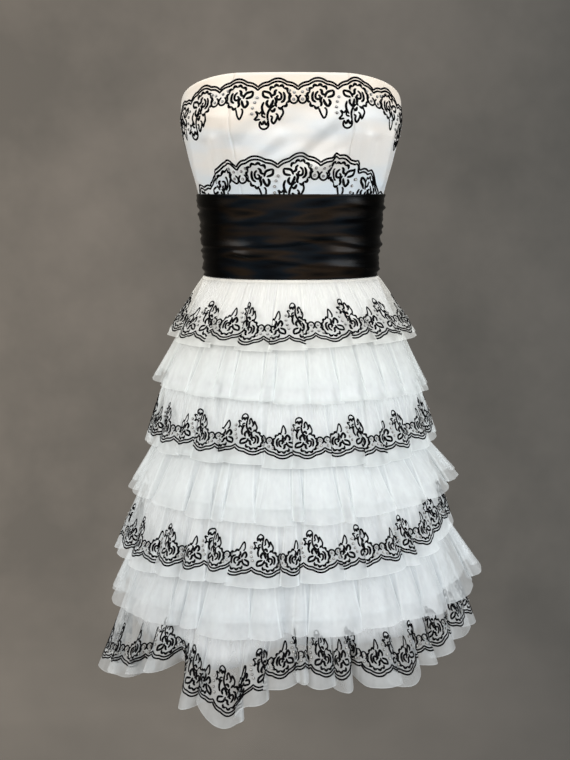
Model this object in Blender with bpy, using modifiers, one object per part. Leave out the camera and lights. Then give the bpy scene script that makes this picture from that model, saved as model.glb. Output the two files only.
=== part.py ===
# Strapless evening dress with a folded cummerbund and seven gathered tiers.
# Metres, +Z up. The front faces -Y and the wearer's left is +X.
# The origin is the centre of the waist, level with the cummerbund's lower edge.
# An azimuth is 0 at the centre front and grows towards the wearer's left.

import math
from collections import namedtuple

import bpy
import numpy as np

# Cloth and seams
SEAM_GAP = 0.0003
SATIN_WALL = 0.0012
CUMMERBUND_WALL = 0.0013
TULLE_WALL = 0.0010
LINING_WALL = 0.0010
WAIST_STEP = 0.0008
FACET_SAG = 0.0003

# Bodice
CUMMERBUND_TOP = 0.112
NECK_FRONT = 0.265
NECK_SIDE = 0.228
NECK_BACK = 0.200
NECK_FLAT_AZIMUTH = math.radians(34)
NECK_FALL = 1.9
SHOULDER_ROW = 0.169
UPPER_STEPS = 4
FRONT_SEAM = 37.5
SIDE_SEAM = 90.0
BACK_SEAM = 142.5
COLUMN_STEP = 7.5
CUP_AZIMUTH = math.radians(33)
CUP_HEIGHT = 0.195
CUP_RISE = 0.006
CUP_SPREAD = math.radians(19)
CUP_REACH = 0.036

# Cummerbund
CUMMERBUND_STEPS = 10

# Centre-back zip
ZIP_HALF_WIDTH = 0.0015
ZIP_END = -0.128
ZIP_WALL = 0.0012
SLIDER_HEIGHT = 0.189
SLIDER_SIZE = (0.0052, 0.0020, 0.0085)
LUG_SIZE = (0.0008, 0.0040, 0.0032)
LUG_SPREAD = 0.0021
PIN_RADIUS = 0.0006
PIN_STANDOFF = 0.0026
EYE_RADIUS = 0.0017
EYE_BORE = 0.0009
EYE_WIDTH = 0.0024
TAB_LENGTH = 0.0210
TAB_HALF_WIDTH = 0.0028
TAB_NECK = 0.0010
TAB_THICKNESS = 0.0010

# Panels of the bodice, which the inner skirt's gores carry on below the waist
Panel = namedtuple("Panel", "name start end")
PANELS = [
    Panel("centre_front", -FRONT_SEAM, FRONT_SEAM),
    Panel("side_front_left", FRONT_SEAM, SIDE_SEAM),
    Panel("side_front_right", -SIDE_SEAM, -FRONT_SEAM),
    Panel("side_back_left", SIDE_SEAM, BACK_SEAM),
    Panel("side_back_right", -BACK_SEAM, -SIDE_SEAM),
    Panel("back_left", BACK_SEAM, 180.0),
    Panel("back_right", -180.0, -BACK_SEAM),
]

BodySection = namedtuple("BodySection", "height half_width front_depth back_depth squareness")
BODY_SECTIONS = [
    BodySection(0.000, 0.1190, 0.0869, 0.0869, 2.10),
    BodySection(0.056, 0.1220, 0.0890, 0.0900, 2.15),
    BodySection(0.112, 0.1276, 0.0945, 0.0965, 2.20),
    BodySection(0.150, 0.1380, 0.1020, 0.1010, 2.30),
    BodySection(0.188, 0.1470, 0.1090, 0.1035, 2.40),
    BodySection(0.210, 0.1506, 0.1110, 0.1035, 2.40),
    BodySection(0.235, 0.1492, 0.1090, 0.1035, 2.35),
    BodySection(0.270, 0.1475, 0.1055, 0.1035, 2.30),
]

SkirtSection = namedtuple("SkirtSection", "height half_width")
SKIRT_SECTIONS = [
    SkirtSection(0.000, 0.1190),
    SkirtSection(-0.074, 0.1535),
    SkirtSection(ZIP_END, 0.1703),
    SkirtSection(-0.148, 0.1765),
    SkirtSection(-0.226, 0.1872),
    SkirtSection(-0.287, 0.2060),
    SkirtSection(-0.330, 0.2115),
    SkirtSection(-0.427, 0.2280),
    SkirtSection(-0.500, 0.2360),
]

DepthShare = namedtuple("DepthShare", "height share")
DEPTH_SHARES = [
    DepthShare(0.000, 0.73),
    DepthShare(-0.085, 0.80),
    DepthShare(-0.150, 0.83),
    DepthShare(-0.230, 0.85),
    DepthShare(-0.400, 0.87),
    DepthShare(-0.600, 0.88),
]

LiningHem = namedtuple("LiningHem", "azimuth height")
LINING_HEM = [
    LiningHem(-180, -0.475),
    LiningHem(-90, -0.470),
    LiningHem(-28, -0.503),
    LiningHem(0, -0.462),
    LiningHem(35, -0.468),
    LiningHem(90, -0.462),
]

# Soft ridges of the cummerbund, with their height at four sides
SashFold = namedtuple("SashFold", "right front left back rise breadth")
SASH_FOLDS = [
    SashFold(0.098, 0.094, 0.098, 0.093, 0.0022, 0.014),
    SashFold(0.064, 0.063, 0.069, 0.066, 0.0030, 0.012),
    SashFold(0.040, 0.033, 0.044, 0.038, 0.0026, 0.011),
    SashFold(0.014, 0.012, 0.012, 0.014, 0.0020, 0.010),
]

# Rows around a tier. The half width is to the crests of its folds at the free
# edge, fold_depth is crest to mean, and flare bends the fall from seam to edge.
# The lowest tier has a row for each fold, at its crest, in place of even waves.
# Growth says how late the folds open below the seam.
TierRow = namedtuple("TierRow", "azimuth seam_height edge_height half_width fold_depth flare")
Tier = namedtuple("Tier", "name waves growth levels back_pieces rows")
TIERS = [
    Tier("tier_1_embroidered", 20, 1.2, (1.0, 0.45, 0.0), 2, [
        TierRow(-180, 0.000, -0.086, 0.1760, 0.0040, 0.95),
        TierRow(-90, 0.000, -0.082, 0.1745, 0.0040, 0.95),
        TierRow(0, 0.000, -0.089, 0.1745, 0.0040, 0.95),
        TierRow(90, 0.000, -0.078, 0.1785, 0.0040, 0.95),
    ]),
    Tier("tier_2_plain", 22, 1.2, (1.0, 0.5, 0.0), 2, [
        TierRow(-180, -0.074, -0.152, 0.1965, 0.0050, 1.00),
        TierRow(-90, -0.074, -0.143, 0.1965, 0.0050, 1.00),
        TierRow(0, -0.074, -0.153, 0.1945, 0.0050, 1.00),
        TierRow(90, -0.074, -0.155, 0.1960, 0.0050, 1.00),
    ]),
    Tier("tier_3_embroidered", 24, 1.2, (1.0, 0.5, 0.0), 1, [
        TierRow(-180, -0.146, -0.233, 0.2085, 0.0048, 0.90),
        TierRow(-90, -0.142, -0.228, 0.2080, 0.0048, 0.90),
        TierRow(0, -0.149, -0.237, 0.2070, 0.0048, 0.90),
        TierRow(90, -0.146, -0.227, 0.2080, 0.0048, 0.90),
    ]),
    Tier("tier_4_plain", 24, 1.2, (1.0, 0.5, 0.0), 1, [
        TierRow(-180, -0.226, -0.301, 0.2340, 0.0065, 1.00),
        TierRow(-90, -0.226, -0.296, 0.2320, 0.0065, 1.00),
        TierRow(0, -0.226, -0.303, 0.2310, 0.0065, 1.00),
        TierRow(90, -0.226, -0.281, 0.2390, 0.0065, 1.00),
    ]),
    Tier("tier_5_embroidered", 26, 1.2, (1.0, 0.5, 0.0), 1, [
        TierRow(-180, -0.284, -0.382, 0.2500, 0.0085, 0.95),
        TierRow(-90, -0.284, -0.391, 0.2525, 0.0085, 0.95),
        TierRow(0, -0.286, -0.380, 0.2490, 0.0085, 0.95),
        TierRow(50, -0.284, -0.366, 0.2430, 0.0060, 0.95),
        TierRow(90, -0.272, -0.342, 0.2335, 0.0040, 0.95),
        TierRow(130, -0.280, -0.372, 0.2430, 0.0060, 0.95),
    ]),
    Tier("tier_6_plain", 26, 1.2, (1.0, 0.5, 0.0), 1, [
        TierRow(-180, -0.370, -0.447, 0.2630, 0.0100, 0.90),
        TierRow(-90, -0.372, -0.452, 0.2615, 0.0100, 0.90),
        TierRow(0, -0.370, -0.447, 0.2590, 0.0100, 0.90),
        TierRow(50, -0.356, -0.440, 0.2610, 0.0095, 0.95),
        TierRow(90, -0.330, -0.420, 0.2770, 0.0090, 1.00),
        TierRow(130, -0.360, -0.438, 0.2650, 0.0085, 0.95),
    ]),
    Tier("tier_7_embroidered", None, 1.5, (1.0, 0.66, 0.33, 0.0), 1, [
        TierRow(-175, -0.427, -0.519, 0.2740, 0.0120, 1.10),
        TierRow(-162, -0.427, -0.515, 0.2750, 0.0130, 1.10),
        TierRow(-147, -0.427, -0.524, 0.2760, 0.0125, 1.10),
        TierRow(-134, -0.427, -0.531, 0.2760, 0.0130, 1.10),
        TierRow(-119, -0.427, -0.540, 0.2780, 0.0125, 1.10),
        TierRow(-106, -0.427, -0.560, 0.2810, 0.0120, 1.10),
        TierRow(-93.5, -0.427, -0.574, 0.2835, 0.0110, 1.10),
        TierRow(-79.5, -0.427, -0.562, 0.2805, 0.0120, 1.10),
        TierRow(-64, -0.427, -0.546, 0.2780, 0.0130, 1.10),
        TierRow(-49, -0.427, -0.521, 0.2750, 0.0160, 1.10),
        TierRow(-31, -0.427, -0.548, 0.2740, 0.0170, 1.10),
        TierRow(-20, -0.427, -0.567, 0.2750, 0.0120, 1.10),
        TierRow(-11, -0.427, -0.531, 0.2720, 0.0100, 1.10),
        TierRow(-1, -0.427, -0.512, 0.2710, 0.0120, 1.10),
        TierRow(11, -0.427, -0.511, 0.2710, 0.0130, 1.10),
        TierRow(26, -0.427, -0.516, 0.2720, 0.0140, 1.10),
        TierRow(38, -0.425, -0.523, 0.2730, 0.0120, 1.10),
        TierRow(48, -0.422, -0.504, 0.2730, 0.0130, 1.05),
        TierRow(61, -0.410, -0.495, 0.2700, 0.0110, 1.00),
        TierRow(74, -0.402, -0.490, 0.2690, 0.0095, 0.95),
        TierRow(86.5, -0.400, -0.492, 0.2700, 0.0085, 0.85),
        TierRow(100.5, -0.403, -0.497, 0.2720, 0.0090, 0.90),
        TierRow(114, -0.410, -0.505, 0.2730, 0.0110, 1.00),
        TierRow(129, -0.420, -0.514, 0.2740, 0.0120, 1.05),
        TierRow(142, -0.427, -0.521, 0.2740, 0.0125, 1.10),
        TierRow(157, -0.427, -0.514, 0.2730, 0.0130, 1.10),
        TierRow(171, -0.427, -0.512, 0.2730, 0.0120, 1.10),
    ]),
]

# Unevenness of the gathers
PITCH_SWAYS = ((1, 1.15, 1.7, 0.4), (2, 0.85, 2.9, 1.1), (3, 0.62, 4.1, 2.3))
DEPTH_MEAN = 0.75
DEPTH_SWAYS = ((3, 0.15), (7, 0.10))
FOLD_ROLL = 0.35
TIER_HALF_GAP = 0.0003

WHITE_SATIN = ("white_satin", (0.90, 0.89, 0.87, 1.0), 0.38, 0.0)
BLACK_SATIN = ("black_satin", (0.012, 0.012, 0.014, 1.0), 0.30, 0.0)
WHITE_TULLE = ("white_tulle", (0.93, 0.93, 0.93, 1.0), 0.80, 0.0)
WHITE_LINING = ("white_lining", (0.86, 0.87, 0.88, 1.0), 0.60, 0.0)
ZIP_TAPE = ("zip_tape", (0.88, 0.88, 0.87, 1.0), 0.70, 0.0)
ZIP_METAL = ("zip_metal", (0.86, 0.86, 0.85, 1.0), 0.35, 0.0)


def clear_scene():
    for thing in list(bpy.data.objects):
        bpy.data.objects.remove(thing, do_unlink=True)


def new_collection(name):
    collection = bpy.data.collections.new(name)
    bpy.context.scene.collection.children.link(collection)
    return collection


def make_material(name, finish):
    slot, colour, roughness, metallic = finish
    material = bpy.data.materials.new(f"{slot}_{name}")
    material.use_nodes = True
    shader = material.node_tree.nodes["Principled BSDF"]
    shader.inputs["Base Color"].default_value = colour
    shader.inputs["Roughness"].default_value = roughness
    shader.inputs["Metallic"].default_value = metallic
    material.diffuse_color = colour
    return material


def section_column(sections, column, height):
    """Read a column of sections listed by height, straight from section to section."""
    ordered = sorted(sections, key=lambda section: section.height)
    heights = [section.height for section in ordered]
    values = [getattr(section, column) for section in ordered]
    return np.interp(height, heights, values)


def around(rows, column, azimuth):
    """Read a column of rows listed by azimuth, eased from row to row and closed at the back."""
    edges = np.array([row.azimuth for row in rows] + [rows[0].azimuth + 360.0])
    values = np.array([getattr(row, column) for row in rows] + [getattr(rows[0], column)])
    place = (np.degrees(azimuth) - edges[0]) % 360.0 + edges[0]
    index = np.clip(np.searchsorted(edges, place, side="right") - 1, 0, len(rows) - 1)
    share = (place - edges[index]) / (edges[index + 1] - edges[index])
    eased = 0.5 - 0.5 * np.cos(np.pi * share)
    return values[index] + (values[index + 1] - values[index]) * eased


def to_points(azimuth, radius, height):
    return np.stack([radius * np.sin(azimuth), -radius * np.cos(azimuth), height], axis=-1)


def body_radius(azimuth, height):
    """Distance from the axis to the bodice's outer face: a squared oval plus two soft cups."""
    width = section_column(BODY_SECTIONS, "half_width", height)
    front = section_column(BODY_SECTIONS, "front_depth", height)
    back = section_column(BODY_SECTIONS, "back_depth", height)
    power = section_column(BODY_SECTIONS, "squareness", height)
    depth = np.where(np.cos(azimuth) > 0.0, front, back)
    across = np.abs(np.sin(azimuth) / width) ** power
    along = np.abs(np.cos(azimuth) / depth) ** power
    oval = (across + along) ** (-1.0 / power)
    side = np.exp(-((np.abs(azimuth) - CUP_AZIMUTH) / CUP_SPREAD) ** 2)
    level = np.exp(-((height - CUP_HEIGHT) / CUP_REACH) ** 2)
    return oval + CUP_RISE * side * level


def skirt_radius(azimuth, height, half_width):
    """Distance from the axis to an oval of the given half width, deeper towards the hem."""
    share = section_column(DEPTH_SHARES, "share", height)
    return half_width / np.sqrt(np.sin(azimuth) ** 2 + (np.cos(azimuth) / share) ** 2)


def neck_height(azimuth):
    """Top edge of the bodice: level in front, falling to the sides and on to the back."""
    turn = np.abs(azimuth)
    front = np.clip((turn - NECK_FLAT_AZIMUTH) / (math.pi / 2 - NECK_FLAT_AZIMUTH), 0.0, 1.0)
    back = np.clip((turn - math.pi / 2) / (math.pi / 2), 0.0, 1.0)
    to_side = (NECK_SIDE - NECK_FRONT) * front ** NECK_FALL
    to_back = (NECK_BACK - NECK_SIDE) * np.sin(back * math.pi / 2)
    return NECK_FRONT + to_side + to_back


def columns_between(start, end):
    """Azimuths from one seam to the next in degrees, in even steps, less half a seam gap."""
    count = round((end - start) / COLUMN_STEP)
    azimuths = np.radians(np.linspace(start, end, count + 1))
    half_gap = 0.6 * SEAM_GAP / BODY_SECTIONS[0].front_depth
    azimuths[0] += half_gap
    azimuths[-1] -= half_gap
    return azimuths


def beside_zip(azimuths, radius):
    """Keep azimuths off the zip's strip at the centre back, where the wall has the given radius."""
    strip = math.asin((ZIP_HALF_WIDTH + SEAM_GAP) / radius)
    return np.clip(azimuths, strip - math.pi, math.pi - strip)


def add_wall(name, points, thickness, finish, collection, parent):
    """Cloth wall: a grid of outer points, rows upwards and columns to the left, thickened inwards."""
    rows, columns = points.shape[:2]
    index = np.arange(rows * columns).reshape(rows, columns)
    low_left = index[:-1, :-1].ravel()
    low_right = index[:-1, 1:].ravel()
    high_right = index[1:, 1:].ravel()
    high_left = index[1:, :-1].ravel()
    faces = np.stack([low_left, low_right, high_right, high_left], axis=1)
    mesh = bpy.data.meshes.new(name)
    mesh.from_pydata(points.reshape(-1, 3).tolist(), [], faces.tolist())
    mesh.shade_smooth()
    wall = bpy.data.objects.new(name, mesh)
    wall.data.materials.append(make_material(name, finish))
    solidify = wall.modifiers.new("cloth", "SOLIDIFY")
    solidify.thickness = thickness
    solidify.offset = -1.0
    collection.objects.link(wall)
    wall.parent = parent
    return wall


def add_bodice(collection, parent):
    lower = [section.height for section in BODY_SECTIONS if section.height < SHOULDER_ROW]
    for panel in PANELS:
        azimuths = columns_between(panel.start, panel.end)
        rows = [np.full_like(azimuths, height) for height in lower]
        top = neck_height(azimuths)
        for step in range(UPPER_STEPS + 1):
            rows.append(SHOULDER_ROW + (top - SHOULDER_ROW) * step / UPPER_STEPS)
        heights = np.stack(rows)
        depths = section_column(BODY_SECTIONS, "back_depth", heights[:, 0])
        turns = np.stack([beside_zip(azimuths, depth) for depth in depths])
        points = to_points(turns, body_radius(turns, heights), heights)
        add_wall(f"bodice_{panel.name}", points, SATIN_WALL, WHITE_SATIN, collection, parent)


def sash_relief(azimuth, height):
    """Rise of the cummerbund's soft folds above its plain oval."""
    relief = np.zeros_like(height)
    for number, fold in enumerate(SASH_FOLDS):
        quarter = np.array([fold.back, fold.right, fold.front, fold.left, fold.back])
        turns = np.radians([-180.0, -90.0, 0.0, 90.0, 180.0])
        ridge = np.interp(azimuth, turns, quarter)
        strength = 0.8 + 0.2 * np.sin(3.0 * azimuth + 1.9 * number)
        relief += fold.rise * strength * np.exp(-((height - ridge) / fold.breadth) ** 2)
    return relief


def add_cummerbund(collection, parent):
    pieces = [
        ("cummerbund_front", -SIDE_SEAM, SIDE_SEAM),
        ("cummerbund_back_left", SIDE_SEAM, 180.0),
        ("cummerbund_back_right", -180.0, -SIDE_SEAM),
    ]
    levels = np.linspace(0.0, CUMMERBUND_TOP, CUMMERBUND_STEPS + 1)
    lift = SEAM_GAP + FACET_SAG + CUMMERBUND_WALL
    for name, start, end in pieces:
        azimuths = columns_between(start, end)
        heights, turns = np.meshgrid(levels, azimuths, indexing="ij")
        radius = body_radius(turns, heights) + lift + sash_relief(turns, heights)
        points = to_points(turns, radius, heights)
        add_wall(name, points, CUMMERBUND_WALL, BLACK_SATIN, collection, parent)


def add_inner_skirt(collection, parent):
    for panel in PANELS:
        azimuths = columns_between(panel.start, panel.end)
        rows_of_points = []
        for number, section in enumerate(reversed(SKIRT_SECTIONS)):
            turns = azimuths.copy()
            height = np.full_like(turns, min(section.height, -SEAM_GAP))
            if number == 0:
                height = around(LINING_HEM, "height", turns)
            if section.height >= ZIP_END:
                turns = beside_zip(turns, BODY_SECTIONS[0].back_depth)
            width = section_column(SKIRT_SECTIONS, "half_width", height)
            rows_of_points.append(to_points(turns, skirt_radius(turns, height, width), height))
        points = np.stack(rows_of_points)
        add_wall(f"inner_skirt_{panel.name}", points, LINING_WALL, WHITE_LINING, collection, parent)


def gather_phase(number, tier, azimuth):
    """Turn of the folds, a full turn each: even turns with sways, or the rows' own places."""
    if tier.waves is None:
        crests = np.array([row.azimuth for row in tier.rows])
        count = len(crests)
        places = np.concatenate([crests - 360.0, crests, crests + 360.0])
        turns = np.interp(np.degrees(azimuth), places, np.arange(-count, 2 * count))
        return 2.0 * math.pi * turns + math.pi / 2
    phase = tier.waves * azimuth
    for order, size, step, start in PITCH_SWAYS:
        phase = phase + size * math.sin(step * number + start) * np.sin(2 * order * azimuth)
    return phase


def fold_strength(number, tier, azimuth):
    """Unevenness of the fold depth, which the lowest tier has in its rows instead."""
    if tier.waves is None:
        return np.ones_like(azimuth)
    strength = np.full_like(azimuth, DEPTH_MEAN)
    for order, size in DEPTH_SWAYS:
        strength += size * np.sin(order * azimuth + order * number)
    return strength


def quarter_columns(number, tier, start, end):
    """Azimuths of every quarter of a fold between two seams, less half a seam gap."""
    fine = np.radians(np.linspace(start, end, 4001))
    phase = gather_phase(number, tier, fine)
    first = math.ceil(phase[0] / (math.pi / 2) + 0.3)
    last = math.floor(phase[-1] / (math.pi / 2) - 0.3)
    quarters = np.arange(first, last + 1) * math.pi / 2
    inner = np.interp(quarters, phase, fine)
    half_gap = TIER_HALF_GAP / SKIRT_SECTIONS[0].half_width
    return np.concatenate([[fine[0] + half_gap], inner, [fine[-1] - half_gap]])


def tier_points(number, tier, azimuth, level):
    """Outer face of a tier: level 0 is its seam on the inner skirt and level 1 its free edge.

    The width falls from the seam to the crests' width, less the depth of the wave, and each
    fold's flanks roll over the hollow beside it.
    """
    seam = np.minimum(around(tier.rows, "seam_height", azimuth), -SEAM_GAP)
    edge = around(tier.rows, "edge_height", azimuth)
    seam_width = section_column(SKIRT_SECTIONS, "half_width", seam) + SEAM_GAP + FACET_SAG + TULLE_WALL
    if number == 0:
        seam_width = seam_width + WAIST_STEP
    edge_width = around(tier.rows, "half_width", azimuth)
    fall = level ** around(tier.rows, "flare", azimuth)
    opening = level ** tier.growth
    depth = around(tier.rows, "fold_depth", azimuth) * fold_strength(number, tier, azimuth) * opening
    phase = gather_phase(number, tier, azimuth)
    width = seam_width + (edge_width - seam_width) * fall - depth * (1.0 - np.sin(phase))
    height = seam + (edge - seam) * level
    turn = azimuth - FOLD_ROLL * depth * np.cos(phase) / width
    return to_points(turn, skirt_radius(turn, height, width), height)


def add_tiers(collection, parent):
    for number, tier in enumerate(TIERS):
        pieces = [("front", -SIDE_SEAM, SIDE_SEAM)]
        if tier.back_pieces == 2:
            pieces.append(("back_left", SIDE_SEAM, 180.0))
            pieces.append(("back_right", -180.0, -SIDE_SEAM))
        else:
            pieces.append(("back", SIDE_SEAM, 270.0))
        for side, start, end in pieces:
            azimuths = quarter_columns(number, tier, start, end)
            levels, turns = np.meshgrid(tier.levels, azimuths, indexing="ij")
            points = tier_points(number, tier, turns, levels)
            add_wall(f"{tier.name}_{side}", points, TULLE_WALL, WHITE_TULLE, collection, parent)


def add_zip_chain(collection, parent):
    """Closed coil and its tape down the centre back, flush with the bodice and inner skirt."""
    body_heights = [section.height for section in BODY_SECTIONS if section.height < SHOULDER_ROW]
    body_heights += [SHOULDER_ROW, 0.188, NECK_BACK]
    skirt_heights = [section.height for section in SKIRT_SECTIONS[1:] if section.height >= ZIP_END]
    half_angle = ZIP_HALF_WIDTH / BODY_SECTIONS[4].back_depth
    turns = np.array([math.pi - half_angle, math.pi + half_angle])
    rows_of_points = []
    for height in sorted(skirt_heights) + body_heights:
        level = np.full_like(turns, height)
        if height < 0.0:
            width = section_column(SKIRT_SECTIONS, "half_width", level)
            radius = skirt_radius(turns, level, width)
        else:
            radius = body_radius(turns, level)
        row = to_points(turns, radius, level)
        row[:, 0] = [ZIP_HALF_WIDTH, -ZIP_HALF_WIDTH]
        rows_of_points.append(row)
    add_wall("zip_chain", np.stack(rows_of_points), ZIP_WALL, ZIP_TAPE, collection, parent)


def add_box(name, size, place, collection):
    bpy.ops.mesh.primitive_cube_add(size=1.0, location=place)
    box = bpy.context.active_object
    box.name = name
    box.scale = size
    bpy.ops.object.transform_apply(location=False, rotation=False, scale=True)
    move_to(box, collection)
    return box


def add_rod(name, radius, length, place, sides, collection):
    """Cylinder along X."""
    bpy.ops.mesh.primitive_cylinder_add(vertices=sides, radius=radius, depth=length, location=place,
                                        rotation=(0.0, math.pi / 2, 0.0))
    rod = bpy.context.active_object
    rod.name = name
    bpy.ops.object.transform_apply(location=False, rotation=True, scale=False)
    move_to(rod, collection)
    return rod


def move_to(thing, collection):
    for other in list(thing.users_collection):
        other.objects.unlink(thing)
    collection.objects.link(thing)


def hide_cutter(cutter):
    cutter.hide_render = True
    cutter.display_type = "WIRE"


def combine(target, tool, operation):
    boolean = target.modifiers.new(operation.lower(), "BOOLEAN")
    boolean.operation = operation
    boolean.object = tool
    hide_cutter(tool)


def add_slider(collection, cutters, parent, axis_place):
    """Slider body with two lugs and the pin that the pull tab turns on."""
    body_y = axis_place[1] - PIN_STANDOFF - SLIDER_SIZE[1] / 2
    body = add_box("zip_slider", SLIDER_SIZE, (0.0, body_y, axis_place[2]), collection)
    body.data.materials.append(make_material("zip_slider", ZIP_METAL))
    bevel = body.modifiers.new("round", "BEVEL")
    bevel.width = 0.0006
    bevel.segments = 2
    lug_y = axis_place[1] - PIN_STANDOFF + LUG_SIZE[1] / 2 - 0.0003
    for side in (-1.0, 1.0):
        place = (side * LUG_SPREAD, lug_y, axis_place[2])
        combine(body, add_box(f"lug_{side:+.0f}", LUG_SIZE, place, cutters), "UNION")
    pin_length = 2.0 * LUG_SPREAD + 0.0004
    combine(body, add_rod("pin", PIN_RADIUS, pin_length, axis_place, 12, cutters), "UNION")
    body.parent = parent
    return body


def tab_outline():
    """Half widths down a drop-shaped tab, then the round end, as a closed outline in X and Z."""
    start = 0.6 * EYE_RADIUS
    end_centre = TAB_LENGTH - TAB_HALF_WIDTH
    right = [(TAB_NECK, -start), (TAB_NECK, -2.0 * EYE_RADIUS)]
    for turn in np.linspace(0.12 * math.pi, 0.5 * math.pi, 7):
        right.append((TAB_HALF_WIDTH * math.cos(turn), -end_centre - TAB_HALF_WIDTH * math.sin(turn)))
    left = [(-across, down) for across, down in reversed(right[:-1])]
    return right + left


def add_pull(collection, cutters, parent, axis_place):
    """Pull tab hanging from its eye, with its origin on the pin's axis."""
    curve = bpy.data.curves.new("pull_outline", "CURVE")
    curve.dimensions = "2D"
    curve.fill_mode = "BOTH"
    curve.extrude = TAB_THICKNESS / 2
    outline = tab_outline()
    spline = curve.splines.new("POLY")
    spline.points.add(len(outline) - 1)
    for point, (across, down) in zip(spline.points, outline):
        point.co = (across, down, 0.0, 1.0)
    spline.use_cyclic_u = True
    flat = bpy.data.objects.new("pull_outline", curve)
    flat.location = axis_place
    flat.rotation_euler = (math.pi / 2, 0.0, 0.0)
    cutters.objects.link(flat)
    bpy.context.view_layer.update()
    evaluated = flat.evaluated_get(bpy.context.evaluated_depsgraph_get())
    mesh = bpy.data.meshes.new_from_object(evaluated)
    tab = bpy.data.objects.new("zip_pull_tab", mesh)
    tab.matrix_world = flat.matrix_world.copy()
    cutters.objects.link(tab)
    bpy.data.objects.remove(flat, do_unlink=True)
    weld = tab.modifiers.new("weld", "WELD")
    weld.merge_threshold = 0.00001
    eye = add_rod("zip_pull", EYE_RADIUS, EYE_WIDTH, axis_place, 20, collection)
    eye.data.materials.append(make_material("zip_pull", ZIP_METAL))
    combine(eye, tab, "UNION")
    combine(eye, add_rod("pull_bore", EYE_BORE, 2.0 * EYE_WIDTH, axis_place, 16, cutters), "DIFFERENCE")
    eye.parent = parent
    return eye


def main():
    clear_scene()
    dress = new_collection("strapless_dress")
    cutters = new_collection("cutters")
    origin = bpy.data.objects.new("waist_origin", None)
    dress.objects.link(origin)
    add_bodice(dress, origin)
    add_cummerbund(dress, origin)
    add_inner_skirt(dress, origin)
    add_tiers(dress, origin)
    add_zip_chain(dress, origin)
    back_face = BODY_SECTIONS[4].back_depth
    pin_y = back_face + SEAM_GAP + SLIDER_SIZE[1] + PIN_STANDOFF
    axis_place = (0.0, pin_y, SLIDER_HEIGHT)
    add_slider(dress, cutters, origin, axis_place)
    add_pull(dress, cutters, origin, axis_place)


main()
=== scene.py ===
import math

import bpy
import numpy as np
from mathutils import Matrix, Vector


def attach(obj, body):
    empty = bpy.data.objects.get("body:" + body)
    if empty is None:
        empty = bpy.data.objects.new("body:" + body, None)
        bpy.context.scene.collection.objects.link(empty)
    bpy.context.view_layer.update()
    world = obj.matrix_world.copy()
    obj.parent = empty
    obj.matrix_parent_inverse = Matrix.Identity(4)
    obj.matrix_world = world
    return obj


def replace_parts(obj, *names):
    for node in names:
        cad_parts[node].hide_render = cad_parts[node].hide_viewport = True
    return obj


# Strapless evening dress: the cloth, embroidery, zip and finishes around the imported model.
# Metres, +Z up, front to -Y. An azimuth is 0 at the centre front and grows to the wearer's left.

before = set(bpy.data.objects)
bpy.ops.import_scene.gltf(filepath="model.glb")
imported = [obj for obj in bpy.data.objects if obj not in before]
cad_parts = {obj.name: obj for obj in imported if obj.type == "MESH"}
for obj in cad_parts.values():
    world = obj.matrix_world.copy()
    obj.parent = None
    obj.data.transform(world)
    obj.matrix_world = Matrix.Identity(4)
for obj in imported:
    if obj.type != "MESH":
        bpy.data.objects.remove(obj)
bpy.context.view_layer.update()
print("frame loaded")

mm = 0.001
dressBody = "dress"


# Shared helpers.

def addObject(name, data):
    item = bpy.data.objects.new(name, data)
    bpy.context.scene.collection.objects.link(item)
    return item


def addPiece(name, points, faces, material, uv=None, marks=None):
    # Mesh from an (n, 3) array of points and an (m, k) array of corner numbers; uv is (n, 2) in metres, and
    # marks, (n, 3), are kept for the material.
    mesh = bpy.data.meshes.new(name)
    mesh.from_pydata(points.tolist(), [], faces.tolist())
    mesh.shade_smooth()
    if uv is not None:
        layer = mesh.uv_layers.new(name="cloth")
        corners = np.empty(len(mesh.loops), dtype=np.int32)
        mesh.loops.foreach_get("vertex_index", corners)
        layer.data.foreach_set("uv", uv[corners].astype(np.float32).ravel())
    if marks is not None:
        kept = mesh.attributes.new("folds", "FLOAT_VECTOR", "POINT")
        kept.data.foreach_set("vector", marks.astype(np.float32).ravel())
    mesh.materials.append(material)
    piece = addObject(name, mesh)
    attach(piece, dressBody)
    return piece


def gridFaces(rows, columns):
    # Quads of a grid whose rows run upwards and columns to the wearer's left, facing outwards.
    index = np.arange(rows * columns).reshape(rows, columns)
    corners = [index[:-1, :-1], index[:-1, 1:], index[1:, 1:], index[1:, :-1]]
    return np.stack(corners, axis=-1).reshape(-1, 4)


def addCloth(name, points, uv, material, node=None, thickness=0.0, marks=None):
    # A grid of points as cloth in a node's place; a thickness adds an inner face below the outer one.
    faces = gridFaces(*points.shape[:2])
    piece = addPiece(name, points.reshape(-1, 3), faces, material, uv.reshape(-1, 2), marks)
    if thickness > 0.0:
        wall = piece.modifiers.new("cloth", "SOLIDIFY")
        wall.thickness = thickness
        wall.offset = -1.0
    if node:
        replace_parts(piece, node)
    return piece


def toPoints(azimuth, radius, height):
    return np.stack([radius * np.sin(azimuth), -radius * np.cos(azimuth), height], axis=-1)


def polar(turn, radius):
    return np.stack([radius * np.cos(turn), radius * np.sin(turn)], axis=-1)


def titled(part):
    # A node's ending, as it stands in the name of a piece.
    return part.title().replace("_", "")


def readTable(rows, place, column=1):
    return np.interp(place, rows[:, 0], rows[:, column])


def panelTurns(start, end, strip, gap, step):
    # Even azimuths from edge to edge of a panel (degrees), clear of the zip by a strip and of seams by a gap.
    low = max(math.radians(start), strip - math.pi) + gap
    high = min(math.radians(end), math.pi - strip) - gap
    return np.linspace(low, high, round((high - low) / step) + 1)


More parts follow.
